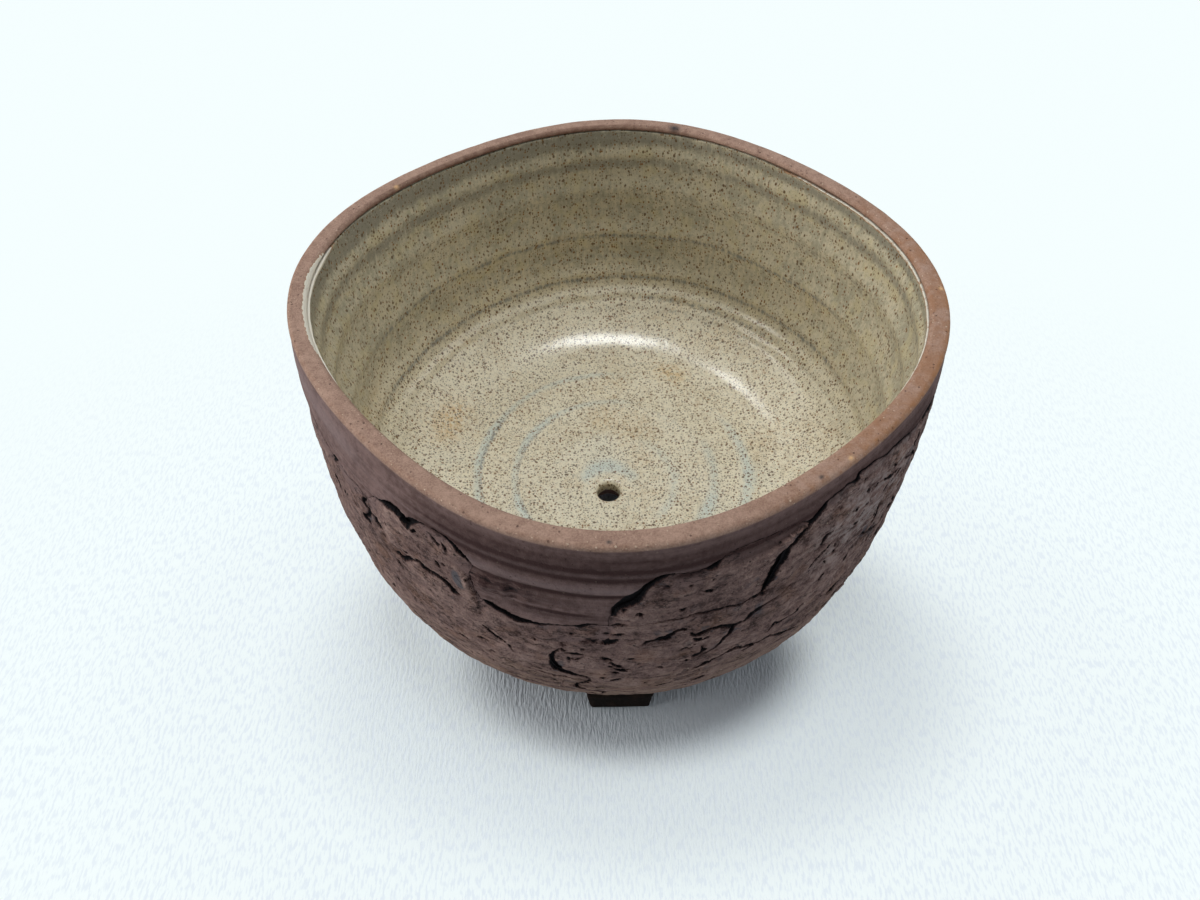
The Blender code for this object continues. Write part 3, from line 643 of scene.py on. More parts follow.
# Nicks and slits that don't part the skin: width and depth in millimetres, then angle and height
nicks = (
    (1.1, 1.2, ((-113, 57.1), (-111.8, 54.6), (-110.2, 52.9), (-109, 51.9))),
    (0.5, 0.6, ((-109, 51.9), (-107.7, 48.5))),
    (0.45, 0.45, ((-133.8, 89), (-132.5, 88.3), (-130.6, 87.6))),
    (0.8, 0.8, ((-118.8, 85.8), (-117.7, 83.4))),
    (0.5, 0.4, ((-124.3, 78.9), (-123.8, 76.2))),
    (1.0, 1.0, ((-120.9, 77.2), (-120.1, 75.3))),
    (0.9, 0.9, ((-124.6, 84.3), (-123.9, 83.8))),
    (0.6, 0.6, ((-147.6, 82.4), (-145.8, 82), (-144.2, 81.3))),
    (0.8, 0.7, ((-151.2, 70.7), (-148.9, 68.7), (-147.6, 67.1))),
    (2.4, 0.5, ((-136.5, 74.3), (-135.1, 73.8), (-133.4, 73.1))),
    (0.9, 0.9, ((-119, 44), (-117.8, 43.8))),
    (0.5, 0.5, ((-129.3, 49), (-128.6, 48))),
    (1.9, 1.3, ((-92.9, 61.1), (-92.1, 61.6))),
    (1.2, 1.1, ((-92.5, 61.4), (-90.5, 63.5))),
    (0.5, 0.6, ((-92.8, 65.5), (-91.6, 65.4))),
    (0.6, 0.7, ((-91.4, 65.6), (-89.7, 66.4))),
    (0.6, 0.8, ((-99.3, 54.6), (-97.6, 54.8), (-96.2, 54.2))),
    (0.5, 0.6, ((-101.3, 52.5), (-99.9, 56.3), (-98.7, 55.9))),
    (0.5, 0.5, ((-99.8, 58.1), (-98.7, 58.4))),
    (0.5, 0.5, ((-96.6, 57.2), (-95.7, 57))),
    (0.5, 0.5, ((-94.7, 60.8), (-93.9, 61.5))),
    (0.4, 0.5, ((-98.6, 52.3), (-97.4, 51.3), (-96.3, 52.9))),
    (0.35, 0.5, ((-98.6, 53.9), (-98.3, 49.4))),
    (1.5, 1.2, ((-92.9, 53.4), (-91.6, 51.9))),
    (1.0, 0.9, ((-91.9, 51.1), (-90.4, 49.3), (-89.4, 47.7))),
    (1.0, 0.8, ((-91.8, 48.7), (-90.4, 46.9), (-89.2, 45.5))),
    (0.9, 0.8, ((-92, 46.1), (-90.6, 44.3))),
    (1.0, 1.2, ((-89.2, 47.1), (-88.5, 46.3))),
    (0.8, 0.8, ((-102.8, 32.1), (-101.2, 32.4))),
    (0.9, 0.9, ((-83.7, 31), (-82.8, 31.8), (-80.7, 32.4))),
    (0.5, 0.5, ((-95.3, 30.9), (-93.4, 30.7))),
    (0.5, 0.5, ((-91.4, 31), (-88.7, 31.7))),
    (0.8, 0.8, ((-80.1, 54.7), (-79.1, 56.5))),
    (1.0, 0.9, ((-77.2, 49.7), (-76.5, 52), (-76.6, 54.1))),
    (0.7, 0.7, ((-88.9, 52.8), (-87.9, 53.2))),
    (1.6, 0.3, ((-84.2, 85.2), (-82.7, 85.3))),
    (0.9, 0.8, ((-77.8, 80.4), (-76.5, 80.2))),
    (1.0, 1.0, ((-87.5, 75.5), (-86.8, 75.4))),
    (0.7, 0.7, ((-76.6, 84.9), (-76, 84.6))),
    (0.5, 0.4, ((-71.9, 84.4), (-71.3, 84.4))),
    (0.7, 0.7, ((-76.8, 29.9), (-75.3, 30.8), (-74.2, 31.3))),
    (0.7, 0.8, ((-63.5, 47.2), (-62.6, 50.1), (-60.6, 49.3), (-58, 49.8), (-57.5, 53.6))),
    (1.25, 1.25, ((-57.8, 68.9), (-57, 71.4), (-56, 72.7), (-55, 73.8), (-54.2, 74.8))),
    (0.9, 0.9, ((-54, 59.9), (-53.5, 62.6))),
    (0.7, 0.8, ((-48.9, 58.3), (-47.9, 60.3), (-46.8, 62.3))),
    (0.6, 0.5, ((-48, 91.6), (-46.7, 90.8))),
    (0.9, 0.9, ((-43.6, 83.9), (-42.7, 84.9))),
    (1.0, 0.9, ((-41, 83.6), (-39, 82.9), (-36.3, 82.4))),
    (0.8, 0.7, ((-34.1, 83.1), (-31.7, 81.4))),
    (0.8, 0.8, ((-41, 66.9), (-39.5, 71.9))),
    (0.8, 0.8, ((-50, 45.9), (-46, 47.9), (-44, 49.7))),
    (1.0, 1.0, ((-12, 71), (-9, 64), (-9.5, 58))),
    (0.9, 0.9, ((4, 66), (8, 62))),
    (0.9, 0.9, ((-20, 52), (-14, 50), (-11, 51))),
    (1.2, 1.1, ((34, 76), (38, 71), (37, 66))),
    (0.9, 0.9, ((52, 43), (57, 40))),
    (1.1, 1.1, ((84, 74), (88, 70), (95, 71))),
    (0.9, 0.9, ((98, 46), (104, 41), (103, 36))),
    (1.2, 1.1, ((146, 73), (151, 68), (149, 62))),
    (0.9, 0.9, ((158, 40), (163, 37))),
    (1.0, 1.0, ((178, 66), (182, 61))),
    (0.9, 0.9, ((-163, 58), (-158, 55), (-155, 56))),
)

# Knobs of clay on the skin: angle, height, radius and rise in millimetres
knobs = ((-125.2, 83.6, 1.6, 0.9), (-130.6, 83.4, 1.5, 0.7), (-114.9, 74.0, 2.4, 0.8),
         (-116.5, 80.4, 1.8, 0.5), (-89.6, 75.2, 1.1, 0.8), (-88.2, 74.4, 1.0, 0.7), (-88.9, 73.4, 0.9, 0.5),
         (-86.4, 74.9, 0.9, 0.4), (-126.6, 72.4, 2.6, 0.4), (-99.6, 55.2, 1.2, 0.4), (-98.0, 48.4, 1.4, 0.4))
# Blue-grey smears of slip: angle, height, radius in millimetres and strength
smears = ((-116.8, 75.6, 1.9, 1), (-116.2, 72.6, 1.6, 1), (-125.9, 85.0, 1.4, 1), (-137.8, 72.0, 1.8, 1),
          (-43.0, 66.0, 2.2, 1))

# Rows of rings hold a height and half width in millimetres, a depth or strength, and first and last angle
skin = {
    "gap": 0.45 * mm,
    "stand": 1.50 * mm,
    "sway": 0.95 * mm,
    "least": 0.60 * mm,
    "most": 2.42 * mm,
    "spacing": 0.64 * mm * coarser,
    "edgeSpacing": 0.40 * mm * coarser,
    "edgeClear": 0.17 * mm * coarser,
    "tearReach": 1.2 * mm,
    "nickReach": 0.45 * mm,
    "hairline": 0.02 * mm,
    "tearSize": 3.4 * mm,
    "tearShift": 0.62 * mm,
    # openings at which a tear parts its edges, crumbles, shows its floor, lifts its lips and holds wash
    "partsAt": 0.5 * mm,
    "crumblesAt": 0.8 * mm,
    "deepAt": 0.42 * mm,
    "liftsAt": 0.7 * mm,
    "washedAt": 0.45 * mm,
    "fineAt": 0.3 * mm,
    "topReach": 9 * mm,
    "topThin": 4.5 * mm,
    "topOver": 0.03 * mm,
    "hemHeight": 14.5 * mm,
    "hemReach": 4 * mm,
    "hemStand": 0.62 * mm,
    "edgeFade": 2 * mm,
    "smearReach": 3.5 * mm,
    # the clay is pulled askew between these angles, at this slope in degrees
    "pulledFrom": -66,
    "pulledTo": -24,
    "pulledSlope": 36,
    # between these angles, with a soft end, tears keep the openings that were read off the photograph
    "read": (-142, -24, 6),
    # ends closer than this are joined, and searches reach this far past the seam
    "joined": 0.1 * mm,
    "seamReach": 25 * mm,
    "nickStep": 0.25 * mm,
    "nickShake": 0.45 * mm,
    "nickGrain": 1.7 * mm,
    "pits": 420,
    "pitSeed": 11,
    "pitHeights": (13, 90),
    "tanFrom": 30 * mm,
    "tanFade": 22 * mm,
    # Where the painted sheen lies on the skin's right front
    "paintedSkinSheen": ((77, 15, 0.92, -64, -22),),
}
band = {
    "stand": 0.75 * mm,
    "fadeFrom": 91 * mm,
    "fadeTo": 97.5 * mm,
    "grooves": ((95.4, 0.5, 0.06), (92.2, 0.8, 0.16), (88.6, 0.8, 0.20), (84.8, 1.7, -0.28),
                (81.9, 0.7, 0.34), (78.6, 1.4, -0.16), (76.3, 0.6, 0.14, -116, -96),
                (73.6, 0.6, 0.20, -113, -88)),
    "lumps": ((77.2, 5, 1, -117, -102),),
    "cracked": ((77.5, 6, 1, -119, -101),),
    # Dark rings on the band: partly a dark wash, partly painted shade under the rim and in the creases of its
    # rings
    "darkClayAndShades": ((92.0, 4.8, 0.80, -128, -18), (95.0, 0.6, 0.25, -150, -20), (91.6, 0.5, 0.55, -140, -20),
              (88.2, 0.9, 0.70, -135, -20), (81.9, 0.75, 1.5, -121, -80), (77.6, 0.8, 0.45, -114, -97),
              (78.4, 3.6, 0.38, -118, -84), (73.0, 0.5, 1.4, -112, -88), (71.6, 1.6, 0.5, -118, -84),
              (77.0, 4.0, 0.5, -119, -104)),
    # Painted light on the band: sheen along its rounded rings, and a paler left side where the light falls
    "paintedBandLights": ((84.6, 1.9, 0.48, -135, -62), (90.0, 0.6, 0.25, -140, -40), (75.4, 1.0, 0.20, -106, -92),
               (92.0, 5.0, 0.55, -178, -132)),
}


# A smooth line through a tear's points, cut into short steps, in metres round the wall and up it
def tearLine(points):
    spots = []
    for angle, percent, opening in points:
        height = pot["base"] + percent / 100 * (pot["rim"] - pot["base"])
        spots.append((math.radians(angle) * pot["rimRadius"], height, opening * mm))
    spots = np.array(spots)
    spots[:, 0] = np.unwrap(spots[:, 0], period=fullTurn)
    ends = np.vstack((2 * spots[0] - spots[1], spots, 2 * spots[-1] - spots[-2]))
    line = []
    for before, first, last, after in zip(ends, ends[1:], ends[2:], ends[3:]):
        steps = max(2, math.ceil(math.dist(first[:2], last[:2]) / skin["edgeSpacing"]))
        t = np.arange(steps)[:, None] / steps
        bend = 2 * first + (last - before) * t + (2 * before - 5 * first + 4 * last - after) * t ** 2
        line.append((bend + (3 * first - 3 * last + after - before) * t ** 3) / 2)
    return np.vstack(line + [spots[-1:]])


# Tears open and close along their length, more so on the sides and the back
def openings(line):
    luck = layered(onCylinder(line[:, :2]), 8 * mm, 31, 3)
    plain = inRange(degreesOf(line), *skin["read"])
    factor = 1 + 2.6 * np.clip(luck * 2.2 + 0.02, -0.385, 0.6) * (1 - plain)
    return np.maximum(line[:, 2], 0) * factor


def meets(first, last):
    across = (first[0] - last[0] + fullTurn / 2) % fullTurn - fullTurn / 2
    return math.hypot(across, first[1] - last[1]) < skin["joined"]


# Tears joined end to end into one closed walk
def chained(names):
    lines = [tearLines[name] for name in names.split()]
    forward = any(meets(lines[0][-1], end) for end in (lines[1][0], lines[1][-1]))
    walked = lines[0] if forward else lines[0][::-1]
    for line in lines[1:]:
        walked = np.vstack((walked, (line if meets(walked[-1], line[0]) else line[::-1])[1:]))
    walked = walked[:-1]
    walked[:, 0] = np.unwrap(walked[:, 0], period=fullTurn)
    return walked


# Every tear wanders the same way for both plates beside it
def wandered(flat):
    around = onCylinder(flat)
    return np.stack([layered(around, skin["tearSize"], seed, 4) * skin["tearShift"] for seed in (11, 15)], -1)


def plateOutline(names):
    walked = chained(names)
    flat = walked[:, :2]
    opening = openings(walked)
    along = np.roll(flat, -3, 0) - np.roll(flat, 3, 0)
    along = along / np.linalg.norm(along, axis=1)[:, None]
    turned = np.roll(flat, -1, 0)
    area = np.sum(flat[:, 0] * turned[:, 1] - turned[:, 0] * flat[:, 1])
    inward = np.stack((-along[:, 1], along[:, 0]), -1) * np.sign(area)
    uneven = 0.28 + 0.14 * layered(onCylinder(flat), 1.6 * mm, 17)
    half = np.maximum(opening * uneven * ease(opening / skin["partsAt"]), skin["hairline"] / 2)
    return flat + wandered(flat) + inward * half[:, None]


def treeOf(flat):
    tree = kdtree.KDTree(len(flat))
    for index, (x, y) in enumerate(flat):
        tree.insert((x, y, 0), index)
    tree.balance()
    return tree


def nearest(tree, flat):
    found = [tree.find((x, y, 0)) for x, y in flat]
    return np.array([hit[1] for hit in found]), np.array([hit[2] for hit in found])


def wrapped(flat):
    return np.stack(((flat[:, 0] + fullTurn / 2) % fullTurn - fullTurn / 2, flat[:, 1]), -1)


# Rows that start with a flat place, searched all round the pot without a seam
def rowTree(rows):
    rows = np.vstack([rows + np.array([turn * fullTurn] + [0] * (rows.shape[1] - 1)) for turn in (-1, 0, 1)])
    rows = rows[np.abs(rows[:, 0]) < fullTurn / 2 + skin["seamReach"]]
    return treeOf(rows[:, :2]), rows


def tearRows():
    return np.vstack([np.column_stack((wrapped(line[:, :2] + wandered(line[:, :2])), openings(line)))
                      for line in tearLines.values()])


# Small pits all over the skin, most of them drawn out along the throwing
def pitRoutes():
    luck = np.random.default_rng(skin["pitSeed"])
    routes = []
    for pit in range(skin["pits"]):
        angle, height = luck.uniform(-180, 180), luck.uniform(*skin["pitHeights"])
        pulled = skin["pulledFrom"] < angle < skin["pulledTo"] or luck.random() < 0.2
        slope = math.radians(luck.normal(skin["pulledSlope"] if pulled else 0, 16))
        length = luck.uniform(0.5, 1.4) if luck.random() < 0.6 else luck.uniform(1.4, 4.5)
        across = math.degrees(length * math.cos(slope) / (pot["rimRadius"] / mm))
        bend = luck.normal(0, 0.25) * length
        rise = length * math.sin(slope)
        middle = (angle + across / 2, height + rise / 2 + bend)
        route = ((angle, height), middle, (angle + across, height + rise))
        routes.append((luck.uniform(0.45, 1.0), luck.uniform(0.3, 0.9), route))
    return routes


# Points along each nick, with its width and depth, fading out at both ends
def nickPoints():
    rows = []
    for width, depth, route in list(nicks) + pitRoutes():
        spots = np.array([(math.radians(angle) * pot["rimRadius"], height * mm) for angle, height in route])
        lengths = np.linalg.norm(np.diff(spots, axis=0), axis=1)
        run = np.concatenate(((0,), np.cumsum(lengths)))
        steps = np.linspace(0, run[-1], max(4, math.ceil(run[-1] / skin["nickStep"])))
        line = np.stack([np.interp(steps, run, spots[:, axis]) for axis in (0, 1)], -1)
        line = line + wandered(line) * 0.7
        shaken = np.stack([layered(onCylinder(line), skin["nickGrain"], seed) for seed in (33, 36)], -1)
        line = line + shaken * skin["nickShake"]
        body = np.sin(np.pi * np.clip(steps / run[-1] * 0.84 + 0.08, 0, 1)) ** 0.6
        body = body * (1 + 0.7 * grain(onCylinder(line), 1.1 * mm, 23))
        rows.append(np.column_stack((line, width * body * mm, depth * body * mm)))
    return np.vstack(rows)


# How deep the nicks cut at each place, their wash, and how far it lies beside them
def carved(flat):
    index, distance = nearest(nickTree, wrapped(flat))
    width, depth = nickRows[index, 2], nickRows[index, 3]
    crumb = 0.34 * layered(onCylinder(flat), 1.0 * mm, 24, 2) * np.minimum(width, 1.2 * mm)
    share = 1 - ease((distance + crumb - 0.30 * width) / (0.30 * width))
    beside = distance + crumb - 0.5 * width
    return depth * share, (1 - (beside + 0.05 * mm) / (0.6 * mm)) * np.minimum(depth / (0.7 * mm), 1), beside


# How far each place lies inside an open tear with crumbling edges, and how near it is to that tear's edge
def crumbled(flat):
    index, distance = nearest(tearTree, wrapped(flat))
    opening = tearSpots[index, 2]
    around = onCylinder(flat)
    half = opening * (0.46 + 0.34 * layered(around, 2.6 * mm, 17))
    crumb = (0.42 * layered(around, 2.2 * mm, 19, 4) + 0.24 * layered(around, 0.85 * mm, 20)) * mm
    crumb = crumb * ease(opening / skin["crumblesAt"])
    beside = distance + crumb - half
    inside = 1 - ease((beside + 0.10 * mm) / (0.34 * mm))
    return inside * ease(opening / skin["deepAt"]), beside, opening, distance


# Height of the thrown band over the wall, with its soft rings
def bandStand(flat, degrees):
    around, height = onCylinder(flat), flat[..., 1]
    level = height + 0.5 * mm * layered(around * (1, 1, 0), 28 * mm, 91, 2)
    proud = band["stand"] * (1 - ease((height - band["fadeFrom"]) / (band["fadeTo"] - band["fadeFrom"])))
    groove = ringsOf(band["grooves"], level, degrees, 6) * (1 + 0.5 * layered(around, 9 * mm, 94, 2))
    rough = ringsOf(band["lumps"], level, degrees, 5)
    lumps = 0.10 * layered(around, 11 * mm, 97, 2) + rough * (0.2 + 1.5 * layered(around, 3.4 * mm, 98, 3))
    return proud + (lumps - groove) * mm * ease(proud / (0.3 * mm)), level


# Height of the skin over the wall: slow swells, flaked ledges and fine strata
def skinStand(flat):
    around = onCylinder(flat)
    degrees = (degreesOf(flat) + 180) % 360 - 180
    swell = layered(around, 13 * mm, 31) * 0.55
    lumps = layered(around, 4.0 * mm, 35) * 0.34 + spotsOn(knobs, degrees, flat[:, 1])
    flakes = layered(around * (1, 1, 1.7), 9 * mm, 38, 4) * 3.0
    ledge = np.floor(flakes) + ease((flakes - np.floor(flakes) - 0.80) / 0.20) + 0.5
    patch = ease(layered(around, 20 * mm, 45) * 2.2 + 0.55)
    strata = layered(around, (15 * mm, 15 * mm, 1.7 * mm), 48) * 0.22
    low = 1 - ease((flat[:, 1] - skin["tanFrom"]) / skin["tanFade"])
    right = inRange(degrees, skin["pulledFrom"] - 2, skin["pulledTo"] + 16, 14)
    slope = math.radians(skin["pulledSlope"])
    along = flat[:, 0] * math.cos(slope) + flat[:, 1] * math.sin(slope)
    across = flat[:, 1] * math.cos(slope) - flat[:, 0] * math.sin(slope)
    pulled = layered(np.stack((along * 0.14, across, across * 0), -1), 1.5 * mm, 52) * 0.45 * right
    fine = layered(around, 1.3 * mm, 55) * 0.10
    total = swell + lumps + ledge * 0.18 * patch + strata * (0.6 + 0.9 * low) + pulled * 1.3 + fine
    return skin["stand"] + skin["sway"] * np.tanh(total * 0.95), total


# Fine points near open tears and nicks, wider ones elsewhere
def skinPoints(edge):
    low, high = edge.min(0), edge.max(0)
    step = skin["spacing"]
    across, up = np.arange(low[0], high[0], step), np.arange(low[1], high[1], step * 0.87)
    grid = np.stack(np.meshgrid(across, up), -1)
    grid[1::2, :, 0] += step / 2
    grid = grid.reshape(-1, 2)
    index, distance = nearest(tearTree, wrapped(grid))
    opening = tearSpots[index, 2]
    fine = (distance < opening / 2 + skin["tearReach"]) & (opening > skin["fineAt"])
    fine |= carved(grid)[2] < skin["nickReach"]
    halves = ((step / 2, 0), (step / 4, step * 0.435), (-step / 4, step * 0.435))
    grid = np.vstack([grid] + [grid[fine] + np.array(half) for half in halves])
    jitter = np.stack([grain(onCylinder(grid), 0.31 * mm, seed) for seed in (61, 62)], -1)
    grid = grid + jitter * step * 0.12
    return grid[nearest(treeOf(edge), grid)[1] > skin["edgeClear"]]


# A plate's flat points, the triangles between them and its border as pairs of points
def cutPlate(edge):
    ring = [(at, (at + 1) % len(edge)) for at in range(len(edge))]
    spots = [Vector(spot) for spot in np.vstack((edge, skinPoints(edge)))]
    cut = geometry.delaunay_2d_cdt(spots, ring, [], 1, 1e-8)
    used, triangles = np.unique(np.array(cut[2]), return_inverse=True)
    triangles = triangles.reshape(-1, 3)
    flat = np.array([cut[0][at][:] for at in used])
    pairs = np.vstack((triangles[:, (0, 1)], triangles[:, (1, 2)], triangles[:, (2, 0)]))
    first, times = np.unique(np.sort(pairs, 1), axis=0, return_index=True, return_counts=True)[1:]
    return flat, triangles, pairs[first[times == 1]]


# How far a plate's front stands off the wall at each point, and its shades
def plateFront(flat):
    around, degrees, height = onCylinder(flat), degreesOf(flat), flat[:, 1]
    stand, relief = skinStand(flat)
    inside, beside, opening, distance = crumbled(flat)
    clear = np.maximum(beside, 0)
    torn = ease(opening / skin["liftsAt"])
    isTop = ease((height - heightOfTop(flat) + skin["topReach"]) / skin["edgeFade"]) * (1 - torn)
    isHem = 1 - ease((height - skin["hemHeight"]) / skin["edgeFade"])
    thrown = isTop * (1 - ease(distance / (skin["topThin"] * (2 - ease(opening / skin["fineAt"])))))
    loose = np.maximum(thrown, isHem * (1 - ease(distance / skin["hemReach"])))
    level, ringLevel = bandStand(flat, degrees)
    target = (level + skin["topOver"]) * isTop + skin["hemStand"] * isHem * (1 - isTop)
    stand = stand + (target - stand) * loose
    lift = (0.55 * layered(around, 5 * mm, 27) - 0.06) * mm * torn * hump(clear, 0.5, 1.2)
    floor = skin["least"] + (0.10 + 0.12 * grain(around, 1.1 * mm, 29)) * mm
    stand = np.clip(stand + lift, skin["least"], skin["most"] - 0.06 * mm * ease(stand / skin["most"]))
    stand = stand + (np.minimum(floor, stand) - stand) * inside
    nick, nickWash = carved(flat)[:2]
    wash = np.clip(1 - (beside + 0.05 * mm) / (0.75 * mm), 0, 1.2) * ease(opening / skin["washedAt"])
    return np.maximum(stand - nick, skin["least"]), {
        "wash": np.maximum(wash, np.clip(nickWash, 0, 1.2)),
        "relief": relief,
        "smear": np.exp(-clear / skin["smearReach"]) * torn,
        "slip": spotsOn(smears, degrees, height, 0.7),
        "thrown": thrown,
        # Painted sheen on the skin's right front
        "paintedSkinSheen": ringsOf(skin["paintedSkinSheen"], height, degrees, 16),
        # The band's dark wash and painted shade under the rim, on the skin's thrown top
        "darkClayAndShade": thrown * ringsOf(band["darkClayAndShades"], ringLevel, degrees, 14),
    }


def barkPlate(name, names):
    flat, triangles, border = cutPlate(plateOutline(names))
    stand, shades = plateFront(flat)
    edge = np.unique(border)
    backNumbers = np.full(len(flat), -1)
    backNumbers[edge] = np.arange(len(edge))
    backSpots = [Vector(spot) for spot in flat[edge]]
    back = geometry.delaunay_2d_cdt(backSpots, backNumbers[border].tolist(), [], 1, 1e-9)
    backNumbers = backNumbers + len(flat)
    faces = triangles.tolist()
    faces += [[len(flat) + corner for corner in reversed(face)] for face in back[2]]
    faces += [[b, a, backNumbers[a], backNumbers[b]] for a, b in border.tolist()]
    allFlat = np.vstack((flat, flat[edge]))
    allStand = np.concatenate((stand, np.full(len(edge), skin["gap"])))
    points = placed(allFlat[:, 0] / pot["rimRadius"], wallRadius(allFlat[:, 1]), allFlat[:, 1], allStand)
    # Backs and sides: full wash and the lowest relief, so the relief's painted shade darkens them too
    backShades = {"wash": 1.0, "relief": -1.0}
    for shade, values in shades.items():
        shades[shade] = np.concatenate((values, np.full(len(edge), backShades.get(shade, 0.0))))
    piece = addPiece(name + "_skin", points, faces, barkSkin, shades)
    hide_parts(name)
    return len(faces)


def heightOfTop(flat):
    order = np.argsort(topFlat[:, 0] % fullTurn)
    return np.interp(flat[:, 0] % fullTurn, (topFlat[:, 0] % fullTurn)[order], topFlat[order, 1],
                     period=fullTurn)


# True where the point lies under the skin's top line: an odd number of crossings lies above it
def underTop(angles, heights):
    first = topFlat
    last = np.roll(topFlat, -1, 0)
    last[-1, 0] += fullTurn
    under = np.zeros((heights.shape[0], len(angles)), bool)
    for column, angle in enumerate(angles):
        x = (angle * pot["rimRadius"] - topFlat[0, 0]) % fullTurn + topFlat[0, 0]
        for turned in (x, x - fullTurn, x + fullTurn):
            hit = (first[:, 0] > turned) != (last[:, 0] > turned)
            share = (turned - first[hit, 0]) / (last[hit, 0] - first[hit, 0])
            crossed = first[hit, 1] + share * (last[hit, 1] - first[hit, 1])
            under[:, column] ^= (crossed[None, :] > heights[:, column, None]).sum(1) % 2 == 1
    return under


# Rows of rings hold a height or radius and half width in millimetres, a bulge or strength, and two angles
lining = {
    "floorRise": 9.9 * mm,
    "floorDish": 1.9 * mm,
    "floorRadius": 46 * mm,
    "coveHeight": 27 * mm,
    "bore": 3.75 * mm,
    "lip": 1.6 * mm,
    "collar": 4.2 * mm,
    "thickness": 0.8 * mm,
    "lineDrop": 1.8 * mm,
    "seatGap": 0.3 * mm,
    "spacing": 0.6 * mm * coarser,
    "backSpacing": 6 * mm,
    "seatSpacing": 7 * mm,
    "columns": 360,
    "ringTilt": 2.2 * mm,
    "wobble": 0.8 * mm,
    "droop": 0.35 * mm,
    "bead": 0.22 * mm,
    # heights where the floor ends, the wall begins, and tilt and rings fade under the glaze line
    "floorTo": 20 * mm,
    "wallFrom": 24 * mm,
    "tiltTo": 90 * mm,
    "ringsTo": 95.5 * mm,
    "droopFrom": 94 * mm,
    # height from which the glaze is painted greyer, as the rim's shade
    "rimShadeFrom": 78 * mm,
    "leftRustTo": 40 * mm,
    "backRustTo": 30 * mm,
    "rustTo": 60 * mm,
    "shadeFrom": 22 * mm,
    "shadeFade": 30 * mm,
    # angles and softness where the rim's painted shade on the glaze is stronger
    "rimShadeTurn": (62, 205, 30),
    "wallRings": ((95.5, 1.2, 0.10), (92.5, 1.5, -0.12), (89.5, 2.2, 0.45), (82.0, 2.6, -0.26),
                  (76.5, 2.9, 0.75), (69.0, 2.6, -0.26), (59.2, 2.8, 0.85), (50.0, 2.2, -0.24),
                  (41.5, 2.5, 0.75), (36.0, 1.6, -0.16), (33.4, 1.5, 0.32), (29.8, 1.0, 0.20)),
    # greyer where the glaze lies thick in the rings, which also paints their shade, and paler where the
    # strength is negative, which paints light on the rings
    "poolAndShades": ((95.5, 2.6, 1.05), (86.0, 2.3, 0.85), (73.0, 2.4, 0.5), (67.0, 1.3, 0.15), (56.6, 1.5, 0.50),
                (51.5, 1.4, 0.20), (38.6, 1.4, 0.50), (31.5, 1.2, 0.40), (79.8, 1.8, -0.5), (62.5, 2.0, -0.5),
                (45.0, 2.2, -0.5), (90.3, 1.4, -0.4)),
    "floorRings": ((55.0, 2.0, 0.10), (46.0, 1.8, 0.22), (39.5, 2.6, -0.12), (33.0, 1.8, 0.24),
                   (26.0, 2.2, -0.12), (20.5, 1.6, 0.14), (14.0, 1.4, 0.10), (9.0, 1.6, 0.20)),
    # blue-grey lines where it breaks
    "wallStreaks": ((57.3, 1.1, 0.85, 10, 175), (39.2, 1.0, 0.85, 5, 180), (32.0, 0.9, 0.6, 25, 95),
                    (29.0, 0.8, 0.45, 20, 110), (75.2, 1.8, 0.35, 30, 160), (51.6, 1.4, 0.40, 20, 160),
                    (66.5, 1.2, 0.22, 40, 150), (48.0, 0.9, 0.45, 60, 150)),
    "floorStreaks": ((45.3, 0.8, 0.85, 128, 236), (45.0, 1.2, 0.35, 60, 130), (32.4, 0.8, 0.62, 110, 240),
                     (32.0, 1.3, 0.35, 20, 110), (20.0, 1.8, 0.20, 0, 360), (13.5, 1.3, 0.20, 30, 330)),
    "milkRings": ((10.0, 2.2, 0.60, 5, 175), (8.0, 1.6, 0.25, 0, 360), (21.0, 2.2, 0.45, -60, 80),
                  (34.0, 2.2, 0.55, -60, 40), (33.6, 1.5, 0.60, 60, 250), (45.0, 2.4, 0.55, -60, 50),
                  (46.6, 1.6, 0.60, 70, 240)),
    "rustLeft": ((61, 5, 0.9, 145, 175),),
    "rustBack": ((51, 4, 0.7, 52, 78),),
    # share and angles of the pale clay that shows along the glaze line
    "paleLine": ((1.15, 163, 214), (0.55, -78, 62, 30), (0.3, 214, 282)),
}


def arcOf(centre, across, up, first, last, spacing):
    steps = max(3, math.ceil(abs(math.radians(last - first)) * max(across, up) / spacing))
    turn = np.radians(np.linspace(first, last, steps + 1))
    return np.stack((centre[0] + across * np.cos(turn), centre[1] + up * np.sin(turn)), -1)


def stretchOf(first, last, spacing):
    steps = max(2, math.ceil(math.dist(first, last) / spacing))
    return np.linspace(first, last, steps + 1)


# Section of the glaze's inner face, from the drain hole up to the glaze line, as radius and height
def liningSection(spacing):
    bore, lip, floorRadius = lining["bore"], lining["lip"], lining["floorRadius"]
    floorHeight = pot["base"] + lining["floorRise"]
    holeHeight = floorHeight - lining["floorDish"]
    coveTop = floorHeight + lining["coveHeight"]
    lineHeight = pot["rim"] - lining["lineDrop"]
    wallFoot = wallRadius(coveTop) - wallThickness(coveTop)
    heights = np.linspace(coveTop, lineHeight, max(6, math.ceil((lineHeight - coveTop) / spacing)))
    return np.vstack((
        stretchOf((bore, holeHeight - lining["collar"]), (bore, holeHeight - lip), spacing),
        arcOf((bore + lip, holeHeight - lip), lip, lip, 180, 90, spacing / 2)[1:],
        stretchOf((bore + lip, holeHeight), (floorRadius, floorHeight), spacing)[1:],
        arcOf((floorRadius, coveTop), wallFoot - floorRadius, lining["coveHeight"], -90, 0, spacing)[1:],
        np.stack((wallRadius(heights) - wallThickness(heights), heights), -1)[1:],
    ))


def alongSection(section):
    along = np.gradient(section, axis=0)
    return along / np.linalg.norm(along, axis=1)[:, None]


def offsetSection(section, distance):
    along = alongSection(section)
    return section + np.stack((along[:, 1], -along[:, 0]), -1) * distance


